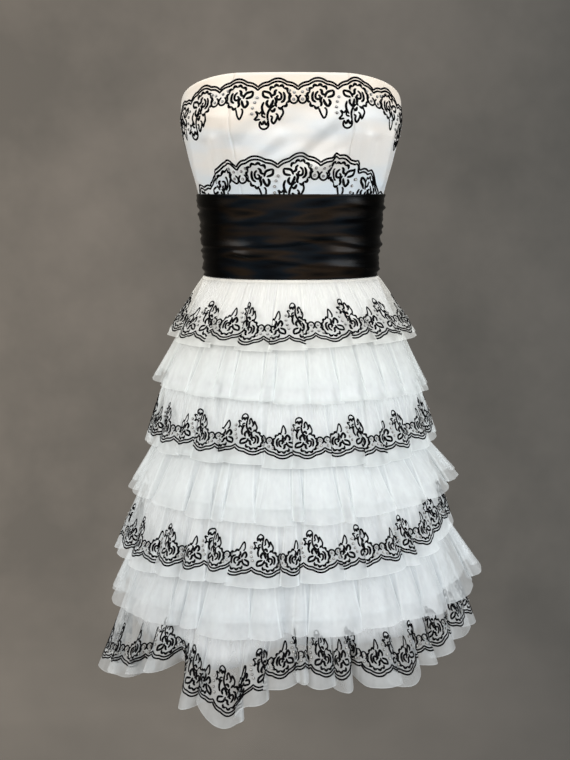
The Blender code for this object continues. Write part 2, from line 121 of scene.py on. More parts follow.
def around(rows, column, azimuth):
    # Reads a column of rows listed by azimuth in degrees, eased by a cosine and closed at the back.
    edges = np.append(rows[:, 0], rows[0, 0] + 360.0)
    values = np.append(rows[:, column], rows[0, column])
    place = (np.degrees(azimuth) - edges[0]) % 360.0 + edges[0]
    index = np.clip(np.searchsorted(edges, place, side="right") - 1, 0, len(rows) - 1)
    share = (place - edges[index]) / (edges[index + 1] - edges[index])
    return values[index] + (values[index + 1] - values[index]) * (0.5 - 0.5 * np.cos(np.pi * share))


def bell(distance, breadth):
    return np.exp(-(distance / breadth) ** 2)


def unit(vectors):
    return vectors / np.maximum(np.linalg.norm(vectors, axis=-1, keepdims=True), 1e-12)


def waveTable(seed, lowest, highest):
    # A closed random wave of unit size, made of the turns from lowest to highest for one way round.
    draw = np.random.default_rng(seed)
    spectrum = np.zeros(4097, dtype=complex)
    turns = np.arange(lowest, highest)
    spectrum[turns] = draw.normal(size=len(turns)) * np.exp(1j * draw.uniform(0.0, 2.0 * np.pi, len(turns)))
    wave = np.fft.irfft(spectrum)
    wave = wave / wave.std()
    return np.append(wave, wave[0])


def readWave(wave, azimuth):
    place = (azimuth / (2.0 * np.pi)) % 1.0 * (len(wave) - 1)
    return np.interp(place, np.arange(len(wave)), wave)


def runLength(points):
    # Length along a line of points, from 0 at its first point.
    steps = np.linalg.norm(np.diff(points, axis=0), axis=1)
    return np.concatenate([[0.0], np.cumsum(steps)])


# Materials. A helper that takes a socket adds its node to the socket's own tree.

def newMaterial(name, colour, roughness, extras={}):
    material = bpy.data.materials.new(name)
    material.use_nodes = True
    tree = material.node_tree
    shader = tree.nodes["Principled BSDF"]
    shader.inputs["Base Color"].default_value = (*colour, 1.0)
    shader.inputs["Roughness"].default_value = roughness
    for socket, value in extras.items():
        shader.inputs[socket].default_value = value
    return material, tree, shader


def addNode(tree, kind, **values):
    node = tree.nodes.new(kind)
    for key, value in values.items():
        if key in node.inputs:
            node.inputs[key].default_value = value
        else:
            setattr(node, key, value)
    return node


def link(source, target):
    source.id_data.links.new(source, target)


def placed(tree, source, scale=(1.0, 1.0, 1.0), turn=(0.0, 0.0, 0.0)):
    # Object, UV or Generated coordinates, turned and stretched by a Mapping node.
    coordinates = addNode(tree, "ShaderNodeTexCoord")
    mapping = addNode(tree, "ShaderNodeMapping", Rotation=turn, Scale=scale)
    link(coordinates.outputs[source], mapping.inputs["Vector"])
    return mapping.outputs["Vector"]


def axis(vector, letter):
    node = addNode(vector.id_data, "ShaderNodeSeparateXYZ")
    link(vector, node.inputs["Vector"])
    return node.outputs[letter]


def maths(operation, *values, clamp=False):
    # A Math node over sockets and plain numbers; the first is a socket.
    node = addNode(values[0].id_data, "ShaderNodeMath", operation=operation, use_clamp=clamp)
    for socket, value in zip(node.inputs, values):
        if isinstance(value, bpy.types.NodeSocket):
            link(value, socket)
        else:
            socket.default_value = value
    return node.outputs["Value"]


def noise(vector, scale, detail=2.0, roughness=0.5):
    node = addNode(vector.id_data, "ShaderNodeTexNoise", Scale=scale, Detail=detail, Roughness=roughness)
    link(vector, node.inputs["Vector"])
    return node.outputs["Fac"]


def netThreads(vector, scale):
    # Distance from the threads of a fine net.
    node = addNode(vector.id_data, "ShaderNodeTexVoronoi", Scale=scale, feature="DISTANCE_TO_EDGE")
    link(vector, node.inputs["Vector"])
    return node.outputs["Distance"]


def ramp(value, *stops):
    # Colour ramp from (place, colour) stops; a single number is a grey.
    node = addNode(value.id_data, "ShaderNodeValToRGB")
    elements = node.color_ramp.elements
    while len(elements) < len(stops):
        elements.new(0.5)
    for element, (place, colour) in zip(elements, stops):
        element.position = place
        element.color = (*np.broadcast_to(colour, 3).tolist(), 1.0)
    link(value, node.inputs["Fac"])
    return node.outputs["Color"]


def spread(value, low, high, toLow=0.0, toHigh=1.0):
    limits = {"From Min": low, "From Max": high, "To Min": toLow, "To Max": toHigh}
    node = addNode(value.id_data, "ShaderNodeMapRange", **limits)
    link(value, node.inputs["Value"])
    return node.outputs["Result"]


def grey(value):
    node = addNode(value.id_data, "ShaderNodeCombineXYZ")
    for socket in node.inputs:
        link(value, socket)
    return node.outputs["Vector"]


def blend(first, second, mode="MULTIPLY", factor=1.0):
    node = addNode(first.id_data, "ShaderNodeMix", data_type="RGBA", blend_type=mode)
    sockets = {socket.identifier: socket for socket in node.inputs}
    sockets["Factor_Float"].default_value = factor
    link(first, sockets["A_Color"])
    link(second, sockets["B_Color"])
    return [socket for socket in node.outputs if socket.identifier == "Result_Color"][0]


def paint(shader, colour, roughness=None):
    link(colour, shader.inputs["Base Color"])
    if roughness:
        link(roughness, shader.inputs["Roughness"])


def addBump(shader, height, strength, distance):
    node = addNode(shader.id_data, "ShaderNodeBump", Strength=strength, Distance=distance)
    link(height, node.inputs["Height"])
    link(node.outputs["Normal"], shader.inputs["Normal"])


def makeSatin():
    # White satin under fine net, with painted warm light towards the top and painted cool shade below,
    # painted warm highlights and cool shade in soft diagonal bands, and a faint mesh.
    extras = {"Sheen Weight": 0.25, "Sheen Roughness": 0.4, "Specular IOR Level": 0.25}
    material, tree, shader = newMaterial("white satin", (0.86, 0.84, 0.81), 0.40, extras)
    place = placed(tree, "Object")
    cloud = noise(place, 9.0, 3.0, 0.55)
    # painted light: warm towards the top and cool lower down, by height broken by a cloud
    lift = maths("MULTIPLY_ADD", cloud, 0.10, axis(place, "Z"))
    paintedLightByHeight = ramp(spread(lift, 0.16, 0.30),
                (0.0, (0.86, 0.905, 0.93)), (0.45, (0.935, 0.935, 0.925)), (1.0, (0.90, 0.83, 0.74)))
    # painted warm highlights and blue-grey shade of soft diagonal folds, in stretched slanting clouds
    slant = placed(tree, "Object", (9.0, 9.0, 30.0), (0.0, 0.65, 0.0))
    paintedSheenAndShade = ramp(noise(slant, 1.0), (0.38, (0.90, 0.945, 0.985)), (0.60, (1.0, 0.965, 0.925)))
    mesh = spread(netThreads(place, 820.0), 0.0, 0.22)
    colour = blend(blend(paintedLightByHeight, paintedSheenAndShade), ramp(mesh, (0.0, 1.0), (1.0, 0.965)))
    paint(shader, colour, spread(cloud, 0.3, 0.7, 0.28, 0.42))
    grain = noise(placed(tree, "Object", (300.0, 300.0, 1400.0)), 1.0)
    addBump(shader, maths("ADD", mesh, grain), 0.18, 0.0002)
    return material


def makeBlackSatin():
    # Glossy black satin with painted soft brown and blue reflections, darkened by painted shade towards the
    # shirred side seams, and a fine cross weave.
    extras = {"Specular IOR Level": 0.075}
    material, tree, shader = newMaterial("black satin", (0.004, 0.004, 0.005), 0.28, extras)
    place = placed(tree, "Object", (1.0, 1.0, 5.5))
    # painted soft brown and blue reflections in broad patches
    paintedReflections = ramp(noise(place, 11.0, 1.5, 0.4),
                (0.34, (0.001, 0.001, 0.0015)), (0.46, (0.004, 0.0065, 0.0095)),
                (0.57, (0.018, 0.0118, 0.0075)), (0.68, (0.0018, 0.0026, 0.0032)))
    # painted shade: the reflections fade to near black towards the sides
    aside = maths("ABSOLUTE", axis(placed(tree, "Object"), "X"))
    fade = grey(spread(aside, 0.066, 0.100, 1.0, 0.04))
    paint(shader, blend(paintedReflections, fade), spread(noise(place, 30.0), 0.3, 0.7, 0.23, 0.33))
    addBump(shader, noise(placed(tree, "Object", (500.0, 500.0, 2600.0)), 1.0), 0.10, 0.0002)
    return material


def makeLining():
    # Opaque white lining, slightly cool, with a fine weave and faint vertical streaks of painted crease
    # shade.
    material, tree, shader = newMaterial("white lining", (0.80, 0.82, 0.84), 0.55, {"Sheen Weight": 0.15})
    # painted crease shade as faint vertical streaks
    creases = noise(placed(tree, "UV", (60.0, 4.0, 1.0)), 1.0, 3.0)
    paint(shader, ramp(creases, (0.3, (0.76, 0.78, 0.80)), (0.7, (0.85, 0.86, 0.87))))
    addBump(shader, noise(placed(tree, "UV", (1500.0, 1500.0, 1.0)), 1.0, 1.0), 0.15, 0.0002)
    return material


def makeTulle(name, thin, dense, rim):
    # Sheer net: soft streaks down the cloth and clouds make it denser and thinner. It is denser by rim at the
    # cut edge and where the marks show a fold's flank or the seam. Its colour carries painted light, warm at
    # the top and cool below, and painted shade in the hollows.
    colour = (0.96, 0.97, 0.97)
    extras = {"Sheen Weight": 0.35, "Sheen Roughness": 0.5, "Specular IOR Level": 0.15}
    material, tree, shader = newMaterial(name, colour, 0.8, extras)
    streaks = noise(placed(tree, "UV", (34.0, 4.0, 1.0)), 1.0)
    clouds = noise(placed(tree, "UV", (26.0, 18.0, 1.0)), 1.0, 3.0, 0.55)
    both = blend(grey(streaks), grey(clouds), "MIX", 0.70)
    tone = ramp(both, (0.36, tuple(0.95 * part for part in colour)), (0.62, colour))
    # painted light by height: cool lower down, warm towards the waist
    paintedTulleLight = ramp(spread(axis(placed(tree, "Object"), "Z"), -0.45, 0.0),
                  (0.0, (0.93, 0.97, 1.0)), (0.7, (0.965, 1.0, 0.995)), (1.0, (0.975, 0.935, 0.855)))
    marks = addNode(tree, "ShaderNodeAttribute", attribute_name="folds").outputs["Vector"]
    # painted shade, greyer and cooler in the hollows of the folds
    paintedHollowShade = ramp(axis(marks, "Y"), (0.0, 1.0), (1.0, (0.84, 0.865, 0.885)))
    paint(shader, blend(blend(tone, paintedTulleLight), paintedHollowShade))
    cutEdge = spread(axis(placed(tree, "UV"), "Y"), 0.5 * mm, 1.3 * mm, rim, 0.0)
    cover = maths("ADD", spread(both, 0.36, 0.62, thin, dense), cutEdge, clamp=True)
    flank = maths("MULTIPLY_ADD", axis(marks, "X"), 0.30, cover)
    seam = spread(axis(marks, "Z"), 2.5 * mm, 5.0 * mm, 0.35, 0.0)
    link(maths("ADD", flank, seam, clamp=True), shader.inputs["Alpha"])
    addBump(shader, netThreads(placed(tree, "UV", (900.0, 900.0, 1.0)), 1.0), 0.12, 0.0002)
    return material


def makeThread():
    # Matt black corded thread; the twist runs across the line.
    extras = {"Specular IOR Level": 0.02}
    material, tree, shader = newMaterial("black thread", (0.004, 0.004, 0.005), 0.85, extras)
    twist = addNode(tree, "ShaderNodeTexWave", Scale=1.0, Distortion=1.5)
    link(placed(tree, "UV", (1900.0, 900.0, 1.0)), twist.inputs["Vector"])
    paint(shader, ramp(twist.outputs["Fac"], (0.0, (0.002, 0.002, 0.0025)), (1.0, (0.006, 0.006, 0.007))))
    addBump(shader, twist.outputs["Fac"], 0.5, 0.0003)
    return material


def makeBead():
    # Grey glass, uneven from bead to bead, with painted shade round the rim and a painted highlight at the
    # crown.
    material, tree, shader = newMaterial("grey beads", (0.28, 0.28, 0.28), 0.3, {"Specular IOR Level": 0.4})
    tone = ramp(noise(placed(tree, "Object"), 160.0, 1.0), (0.35, 0.55), (0.65, (1.0, 1.0, 0.98)))
    # painted shade, dark round the rim, and a painted highlight, pale at the crown
    depth = ramp(axis(placed(tree, "UV"), "Y"),
                 (0.0, 0.14), (0.45, (0.22, 0.22, 0.215)), (0.75, (0.62, 0.62, 0.605)))
    paint(shader, blend(depth, tone))
    return material


def makeZipNylon():
    material, tree, shader = newMaterial("zip nylon", (0.82, 0.82, 0.81), 0.45)
    place = placed(tree, "Object")
    paint(shader, ramp(noise(place, 700.0), (0.3, (0.76, 0.76, 0.75)), (0.7, (0.86, 0.86, 0.85))))
    addBump(shader, noise(place, 2400.0, 1.0), 0.2, 0.0001)
    return material


def makeZipEnamel():
    extras = {"Coat Weight": 0.4, "Coat Roughness": 0.15}
    material, tree, shader = newMaterial("zip enamel", (0.84, 0.84, 0.83), 0.28, extras)
    place = placed(tree, "Object")
    tone = ramp(noise(place, 320.0, 3.0), (0.35, (0.78, 0.78, 0.77)), (0.65, (0.87, 0.87, 0.86)))
    paint(shader, tone, spread(noise(place, 900.0), 0.3, 0.7, 0.22, 0.38))
    return material


satin = makeSatin()
blackSatin = makeBlackSatin()
lining = makeLining()
tulles = {
    "embroidered": makeTulle("embroidered tulle", 0.33, 0.46, 0.05),
    "plain": makeTulle("plain tulle", 0.27, 0.39, 0.02),
    "hem": makeTulle("hem tulle", 0.23, 0.36, 0.12),
}
thread = makeThread()
bead = makeBead()
zipNylon = makeZipNylon()
zipEnamel = makeZipEnamel()
print("materials made")


# Bodice.

bodice = {
    # height, half width, front depth, back depth, squareness of the oval
    "sections": np.array([
        (0.000, 0.1190, 0.0869, 0.0869, 2.10), (0.056, 0.1220, 0.0890, 0.0900, 2.15),
        (0.112, 0.1276, 0.0945, 0.0965, 2.20), (0.150, 0.1380, 0.1020, 0.1010, 2.30),
        (0.188, 0.1470, 0.1090, 0.1035, 2.40), (0.210, 0.1506, 0.1110, 0.1035, 2.40),
        (0.235, 0.1492, 0.1090, 0.1035, 2.35), (0.270, 0.1475, 0.1055, 0.1035, 2.30)]),
    "cup": {"azimuth": math.radians(33), "height": 0.195, "rise": 0.006,
            "spread": math.radians(19), "reach": 0.036},
    "neck": {"front": 0.265, "side": 0.228, "back": 0.200, "flatAzimuth": math.radians(34), "fall": 1.9},
    # ending of the node and azimuths of both edges; the inner skirt's gores carry the panels on
    "panels": [("centre_front", -37.5, 37.5), ("side_front_left", 37.5, 90.0),
               ("side_front_right", -90.0, -37.5), ("side_back_left", 90.0, 142.5),
               ("side_back_right", -142.5, -90.0), ("back_left", 142.5, 180.0),
               ("back_right", -180.0, -142.5)],
    "seams": np.radians([37.5, 90.0, 142.5]), "seamDips": np.array([0.12, 0.6, 0.5]) * mm,
    "seamBreadth": 1.6 * mm, "topDip": 0.5 * mm, "topBreadth": 1.2 * mm,
    "wall": 1.1 * mm, "columnStep": math.radians(1.5), "zipStrip": 1.9 * mm / 0.1035, "edgeGap": 0.00005,
    "hiddenRows": 8, "shownRows": 52, "hiddenTop": 0.106,
    "girth": 0.125, "creaseStrength": 3.0,
    # soft creases: azimuth and height at both ends (degrees, mm), rise and breadth (mm)
    "creases": [
        (-51, 206, -56, 120, -0.45, 2.2), (-43, 196, -47, 118, -0.35, 2.2), (29, 196, 32, 118, -0.4, 2.2),
        (43, 200, 47, 118, -0.4, 2.2), (-30, 150, -8, 186, 1.1, 9), (-22, 146, 6, 168, 0.8, 8),
        (4, 150, 26, 188, -1.2, 9), (12, 140, 34, 162, 0.9, 7), (-34, 176, -20, 205, -0.9, 9),
        (20, 196, 33, 226, 0.8, 9), (-6, 196, 12, 214, -0.7, 12), (-14, 228, 8, 236, 0.6, 10),
        (-52, 128, -49, 182, 0.9, 5), (-60, 124, -57, 176, -0.8, 6), (52, 126, 49, 186, 0.9, 5),
        (60, 128, 56, 180, -0.8, 6), (-72, 130, -66, 190, 0.7, 7), (70, 124, 66, 188, 0.8, 7),
        (-84, 128, -80, 168, -0.6, 6), (83, 126, 80, 172, -0.6, 6), (104, 120, 112, 168, 0.9, 8),
        (-103, 122, -113, 164, 0.9, 8), (124, 118, 130, 172, -0.8, 8), (-123, 120, -131, 170, -0.8, 8),
        (150, 118, 158, 158, 0.9, 7), (-151, 118, -157, 156, 0.9, 7), (166, 122, 172, 176, -0.7, 7),
        (-165, 124, -172, 172, -0.7, 7)],
}


def bodyRadius(azimuth, height):
    # A squared oval, (|sin|/width)^p + (|cos|/depth)^p = 1, plus two soft cups.
    width, front, back, power = (readTable(bodice["sections"], height, column) for column in range(1, 5))
    depth = np.where(np.cos(azimuth) > 0.0, front, back)
    across = np.abs(np.sin(azimuth) / width) ** power
    oval = (across + np.abs(np.cos(azimuth) / depth) ** power) ** (-1.0 / power)
    cup = bodice["cup"]
    fullness = cup["rise"] * bell(np.abs(azimuth) - cup["azimuth"], cup["spread"])
    return oval + fullness * bell(height - cup["height"], cup["reach"])


def neckHeight(azimuth):
    # Level in front, falling by a power to the sides and by a sine on to the back.
    neck = bodice["neck"]
    turn = np.abs(azimuth)
    front = np.clip((turn - neck["flatAzimuth"]) / (math.pi / 2 - neck["flatAzimuth"]), 0.0, 1.0)
    back = np.clip((turn - math.pi / 2) / (math.pi / 2), 0.0, 1.0)
    toSide = (neck["side"] - neck["front"]) * front ** neck["fall"]
    return neck["front"] + toSide + (neck["back"] - neck["side"]) * np.sin(back * math.pi / 2)


def creaseRelief(azimuth, height):
    # Sum of bells of the distance to short straight lines in the flat cloth.
    girth = bodice["girth"]
    relief = np.zeros(np.broadcast(azimuth, height).shape)
    for startAzimuth, startHeight, endAzimuth, endHeight, rise, breadth in bodice["creases"]:
        startU, endU = math.radians(startAzimuth) * girth, math.radians(endAzimuth) * girth
        startV, endV = startHeight * mm, endHeight * mm
        alongU, alongV = endU - startU, endV - startV
        share = (azimuth * girth - startU) * alongU + (height - startV) * alongV
        share = np.clip(share / (alongU ** 2 + alongV ** 2), 0.0, 1.0)
        gap = np.hypot(azimuth * girth - startU - share * alongU, height - startV - share * alongV)
        relief += rise * mm * bell(gap, breadth * mm)
    return bodice["creaseStrength"] * relief


def bodiceSurface(azimuth, height):
    # The body oval with soft creases, and a dip along each seam and below the neck edge.
    radius = bodyRadius(azimuth, height) + creaseRelief(azimuth, height)
    gaps = np.abs(np.abs(azimuth)[..., None] - bodice["seams"]) * radius[..., None]
    radius = radius - (bodice["seamDips"] * bell(gaps, bodice["seamBreadth"])).sum(axis=-1)
    radius = radius - bodice["topDip"] * bell(neckHeight(azimuth) - height, bodice["topBreadth"])
    return toPoints(azimuth, radius, height)


def addBodice():
    # Each panel has a few rows behind the cummerbund and close rows from there to the neck edge.
    hiddenTop = bodice["hiddenTop"]
    hiddenShare = np.linspace(0.0, 1.0, bodice["hiddenRows"], endpoint=False)[:, None]
    shownShare = np.linspace(0.0, 1.0, bodice["shownRows"])[:, None]
    for part, start, end in bodice["panels"]:
        azimuths = panelTurns(start, end, bodice["zipStrip"], bodice["edgeGap"], bodice["columnStep"])
        hidden = hiddenShare * hiddenTop + 0.0 * azimuths
        heights = np.concatenate([hidden, hiddenTop + (neckHeight(azimuths) - hiddenTop) * shownShare])
        turns = np.broadcast_to(azimuths, heights.shape)
        points = bodiceSurface(turns, heights)
        uv = np.stack([turns * bodice["girth"], heights], axis=-1)
        piece = addCloth("bodice" + titled(part), points, uv, satin,
                         "bodice_" + part, bodice["wall"])


addBodice()
print("bodice made")


# Cummerbund.

cummerbund = {
    "top": 0.112, "lift": 1.9 * mm, "wall": 1.0 * mm, "cutHeight": 0.15, "rows": 84,
    "columnStep": math.radians(1.9), "zipStrip": 2.0 * mm / 0.094, "edgeGap": 0.0004,
    "edgeFade": 4 * mm, "edgeRoll": 0.5 * mm, "rollPlace": 1.5 * mm, "rollBreadth": 1.2 * mm, "girth": 0.12,
    "pieces": [("front", -90.0, 90.0), ("back_left", 90.0, 180.0), ("back_right", -180.0, -90.0)],
    # broad soft ridges: heights at right, front, left, back, then rise and breadth
    "ridges": [
        (0.098, 0.094, 0.098, 0.093, 2.2 * mm, 14 * mm), (0.064, 0.063, 0.069, 0.066, 3.0 * mm, 12 * mm),
        (0.040, 0.033, 0.044, 0.038, 2.6 * mm, 11 * mm), (0.014, 0.012, 0.012, 0.014, 2.0 * mm, 10 * mm)],
    # sharp fold lines: azimuths (degrees) and heights (mm) along the line, rise, breadth above and below (mm)
    "folds": [([-75, -56, -21, 10, 54, 72], [70, 74, 76, 75.5, 79, 84], 2.0, 11, 2.4),
              ([-88, -75, -41, -4, 24, 63, 80], [46, 43, 43, 47.4, 53.8, 41, 38], 2.3, 10, 2.2),
              ([-50, -28, 16, 56, 86], [36, 30, 19.7, 14.1, 12], 1.9, 9, 2.2),
              ([22, 27, 57, 76], [36, 35.4, 32.7, 34], 1.5, 6, 1.3),
              ([-64, -60, -44, -30, -22], [24, 27, 32.5, 27, 22], 1.6, 5, 1.4),
              ([-84, -66, -40], [98, 94, 96], 1.4, 8, 1.6), ([40, 64, 84], [99, 95, 90], 1.4, 8, 1.6),
              ([96, 120, 150, 178], [78, 74, 70, 73], 2.4, 10, 1.6),
              ([100, 130, 158, 176], [48, 43, 47, 44], 2.4, 10, 1.5),
              ([94, 118, 146], [22, 27, 20], 1.8, 7, 1.5),
              ([-178, -152, -124, -98], [72, 76, 70, 74], 2.3, 10, 1.6),
              ([-176, -150, -122, -96], [42, 46, 40, 47], 2.4, 10, 1.5),
              ([-170, -140, -112], [20, 15, 23], 1.8, 7, 1.5)],
    "foldFade": 14.0,
    # shirring at the side seams and at the zip: azimuth and reach (degrees), size; then its pitches (mm)
    "gatherPlaces": [(90.0, 11.0, 1.5 * mm), (-90.0, 11.0, 1.5 * mm),
                     (180.0, 9.0, 0.9 * mm), (-180.0, 9.0, 0.9 * mm)],
    "gatherPitches": (8.5, 12.0, 17.0, 25.0), "gatherSeed": 41,
}


def foldLine(azimuth, height, fold):
    # A fold that rises slowly from above and drops steeply below its line, fading at both ends.
    places, heights, rise, above, below = fold
    degrees = np.degrees(azimuth)
    gap = height - np.interp(degrees, places, heights) * mm
    fade = cummerbund["foldFade"]
    fromStart, toEnd = (degrees - places[0]) / fade, (places[-1] - degrees) / fade
    inside = np.clip(fromStart, 0.0, 1.0) * np.clip(toEnd, 0.0, 1.0)
    return rise * mm * inside ** 0.7 * bell(gap, np.where(gap > 0.0, above, below) * mm)


def shirring(azimuth, height):
    # Uneven small gathers: sines of four pitches, packed at the seams and fading along the cloth.
    relief = np.zeros(np.broadcast(azimuth, height).shape)
    draw = np.random.default_rng(cummerbund["gatherSeed"])
    for place, reach, size in cummerbund["gatherPlaces"]:
        waves = np.zeros_like(relief)
        for pitch in cummerbund["gatherPitches"]:
            start, slant = draw.uniform(0.0, 2.0 * np.pi), draw.uniform(-2.5, 2.5)
            waves += np.sin(2.0 * np.pi * height / (pitch * mm) + start + slant * azimuth)
        relief += size * 0.5 * waves * bell(np.degrees(azimuth) - place, reach)
    return relief


def cummerbundRadius(azimuth, height):
    # The body oval, lifted, with broad ridges, sharp folds and shirring that fade to a roll at the edges.
    turns = np.radians([-180.0, -90.0, 0.0, 90.0, 180.0])
    relief = np.zeros(np.broadcast(azimuth, height).shape)
    for number, (right, front, left, back, rise, breadth) in enumerate(cummerbund["ridges"]):
        ridge = np.interp(azimuth, turns, [back, right, front, left, back])
        swell = 0.75 * rise * (0.8 + 0.2 * np.sin(3.0 * azimuth + 1.9 * number))
        relief += swell * bell(height - ridge, breadth)
    for fold in cummerbund["folds"]:
        relief += foldLine(azimuth, height, fold)
    relief += shirring(azimuth, height)
    edge = np.minimum(height, cummerbund["top"] - height)
    roll = cummerbund["edgeRoll"]
    relief = relief * np.clip(edge / cummerbund["edgeFade"], 0.0, 1.0) ** 0.6
    relief = relief + roll * bell(edge - cummerbund["rollPlace"], cummerbund["rollBreadth"])
    return bodyRadius(azimuth, height) + cummerbund["lift"] + np.maximum(relief, -roll)


def addCummerbund():
    levels = np.linspace(0.0, cummerbund["top"], cummerbund["rows"])
    for part, start, end in cummerbund["pieces"]:
        step = cummerbund["columnStep"]
        azimuths = panelTurns(start, end, cummerbund["zipStrip"], cummerbund["edgeGap"], step)
        heights, turns = np.meshgrid(levels, azimuths, indexing="ij")
        points = toPoints(turns, cummerbundRadius(turns, heights), heights)
        uv = np.stack([turns * cummerbund["girth"], heights], axis=-1)
        piece = addCloth("cummerbund" + titled(part), points, uv, blackSatin,
                         "cummerbund_" + part, cummerbund["wall"])


addCummerbund()
print("cummerbund made")


# Inner skirt.

innerSkirt = {
    # height and half width, then height and depth as a share of the width, then the hem's azimuth and height
    "sections": np.array([
        (-0.500, 0.2360), (-0.427, 0.2280), (-0.330, 0.2115), (-0.287, 0.2060), (-0.226, 0.1872),
        (-0.148, 0.1765), (-0.128, 0.1703), (-0.074, 0.1535), (0.000, 0.1190)]),
    "shares": np.array([
        (-0.600, 0.88), (-0.400, 0.87), (-0.230, 0.85), (-0.150, 0.83), (-0.085, 0.80), (0.000, 0.73)]),
    "hem": np.array([(-180, -0.475), (-90, -0.470), (-28, -0.503), (0, -0.462), (35, -0.468), (90, -0.462)]),
    "top": -0.3 * mm, "wall": 0.9 * mm, "rows": 26, "columnStep": math.radians(2.2),
    "zipStrip": 2.0 * mm / 0.0869, "edgeGap": 0.0004,
    "swayDepth": 0.8 * mm, "swayTurns": 23.0, "seamDip": 0.5 * mm, "seamBreadth": 2.0 * mm,
    "girth": 0.2, "seamGirth": 0.15,
}


def skirtHalfWidth(height):
    return readTable(innerSkirt["sections"], height)


def skirtRadius(azimuth, height, halfWidth):
    # An oval whose depth is a share of its width that grows downwards.
    share = readTable(innerSkirt["shares"], height)
    return halfWidth / np.sqrt(np.sin(azimuth) ** 2 + (np.cos(azimuth) / share) ** 2)


def addInnerSkirt():
    # The oval skirt with a shallow cosine sway that grows to the hem, and a dip at each gore's seams.
    level = np.linspace(1.0, 0.0, innerSkirt["rows"])[:, None]
    top = innerSkirt["top"]
    for part, start, end in bodice["panels"]:
        step = innerSkirt["columnStep"]
        azimuths = panelTurns(start, end, innerSkirt["zipStrip"], innerSkirt["edgeGap"], step)
        heights = top + (around(innerSkirt["hem"], 1, azimuths) - top) * level
        turns = np.broadcast_to(azimuths, heights.shape)
        fromSeam = np.minimum(turns - azimuths[0], azimuths[-1] - turns) * innerSkirt["seamGirth"]
        sway = -innerSkirt["swayDepth"] * (0.5 - 0.5 * np.cos(innerSkirt["swayTurns"] * turns)) * level
        sway = sway - innerSkirt["seamDip"] * bell(fromSeam, innerSkirt["seamBreadth"])
        points = toPoints(turns, skirtRadius(turns, heights, skirtHalfWidth(heights)) + sway, heights)
        uv = np.stack([turns * innerSkirt["girth"], heights], axis=-1)
        piece = addCloth("lining" + titled(part), points, uv, lining,
                         "inner_skirt_" + part, innerSkirt["wall"])


addInnerSkirt()
print("inner skirt made")


# Tulle tiers.

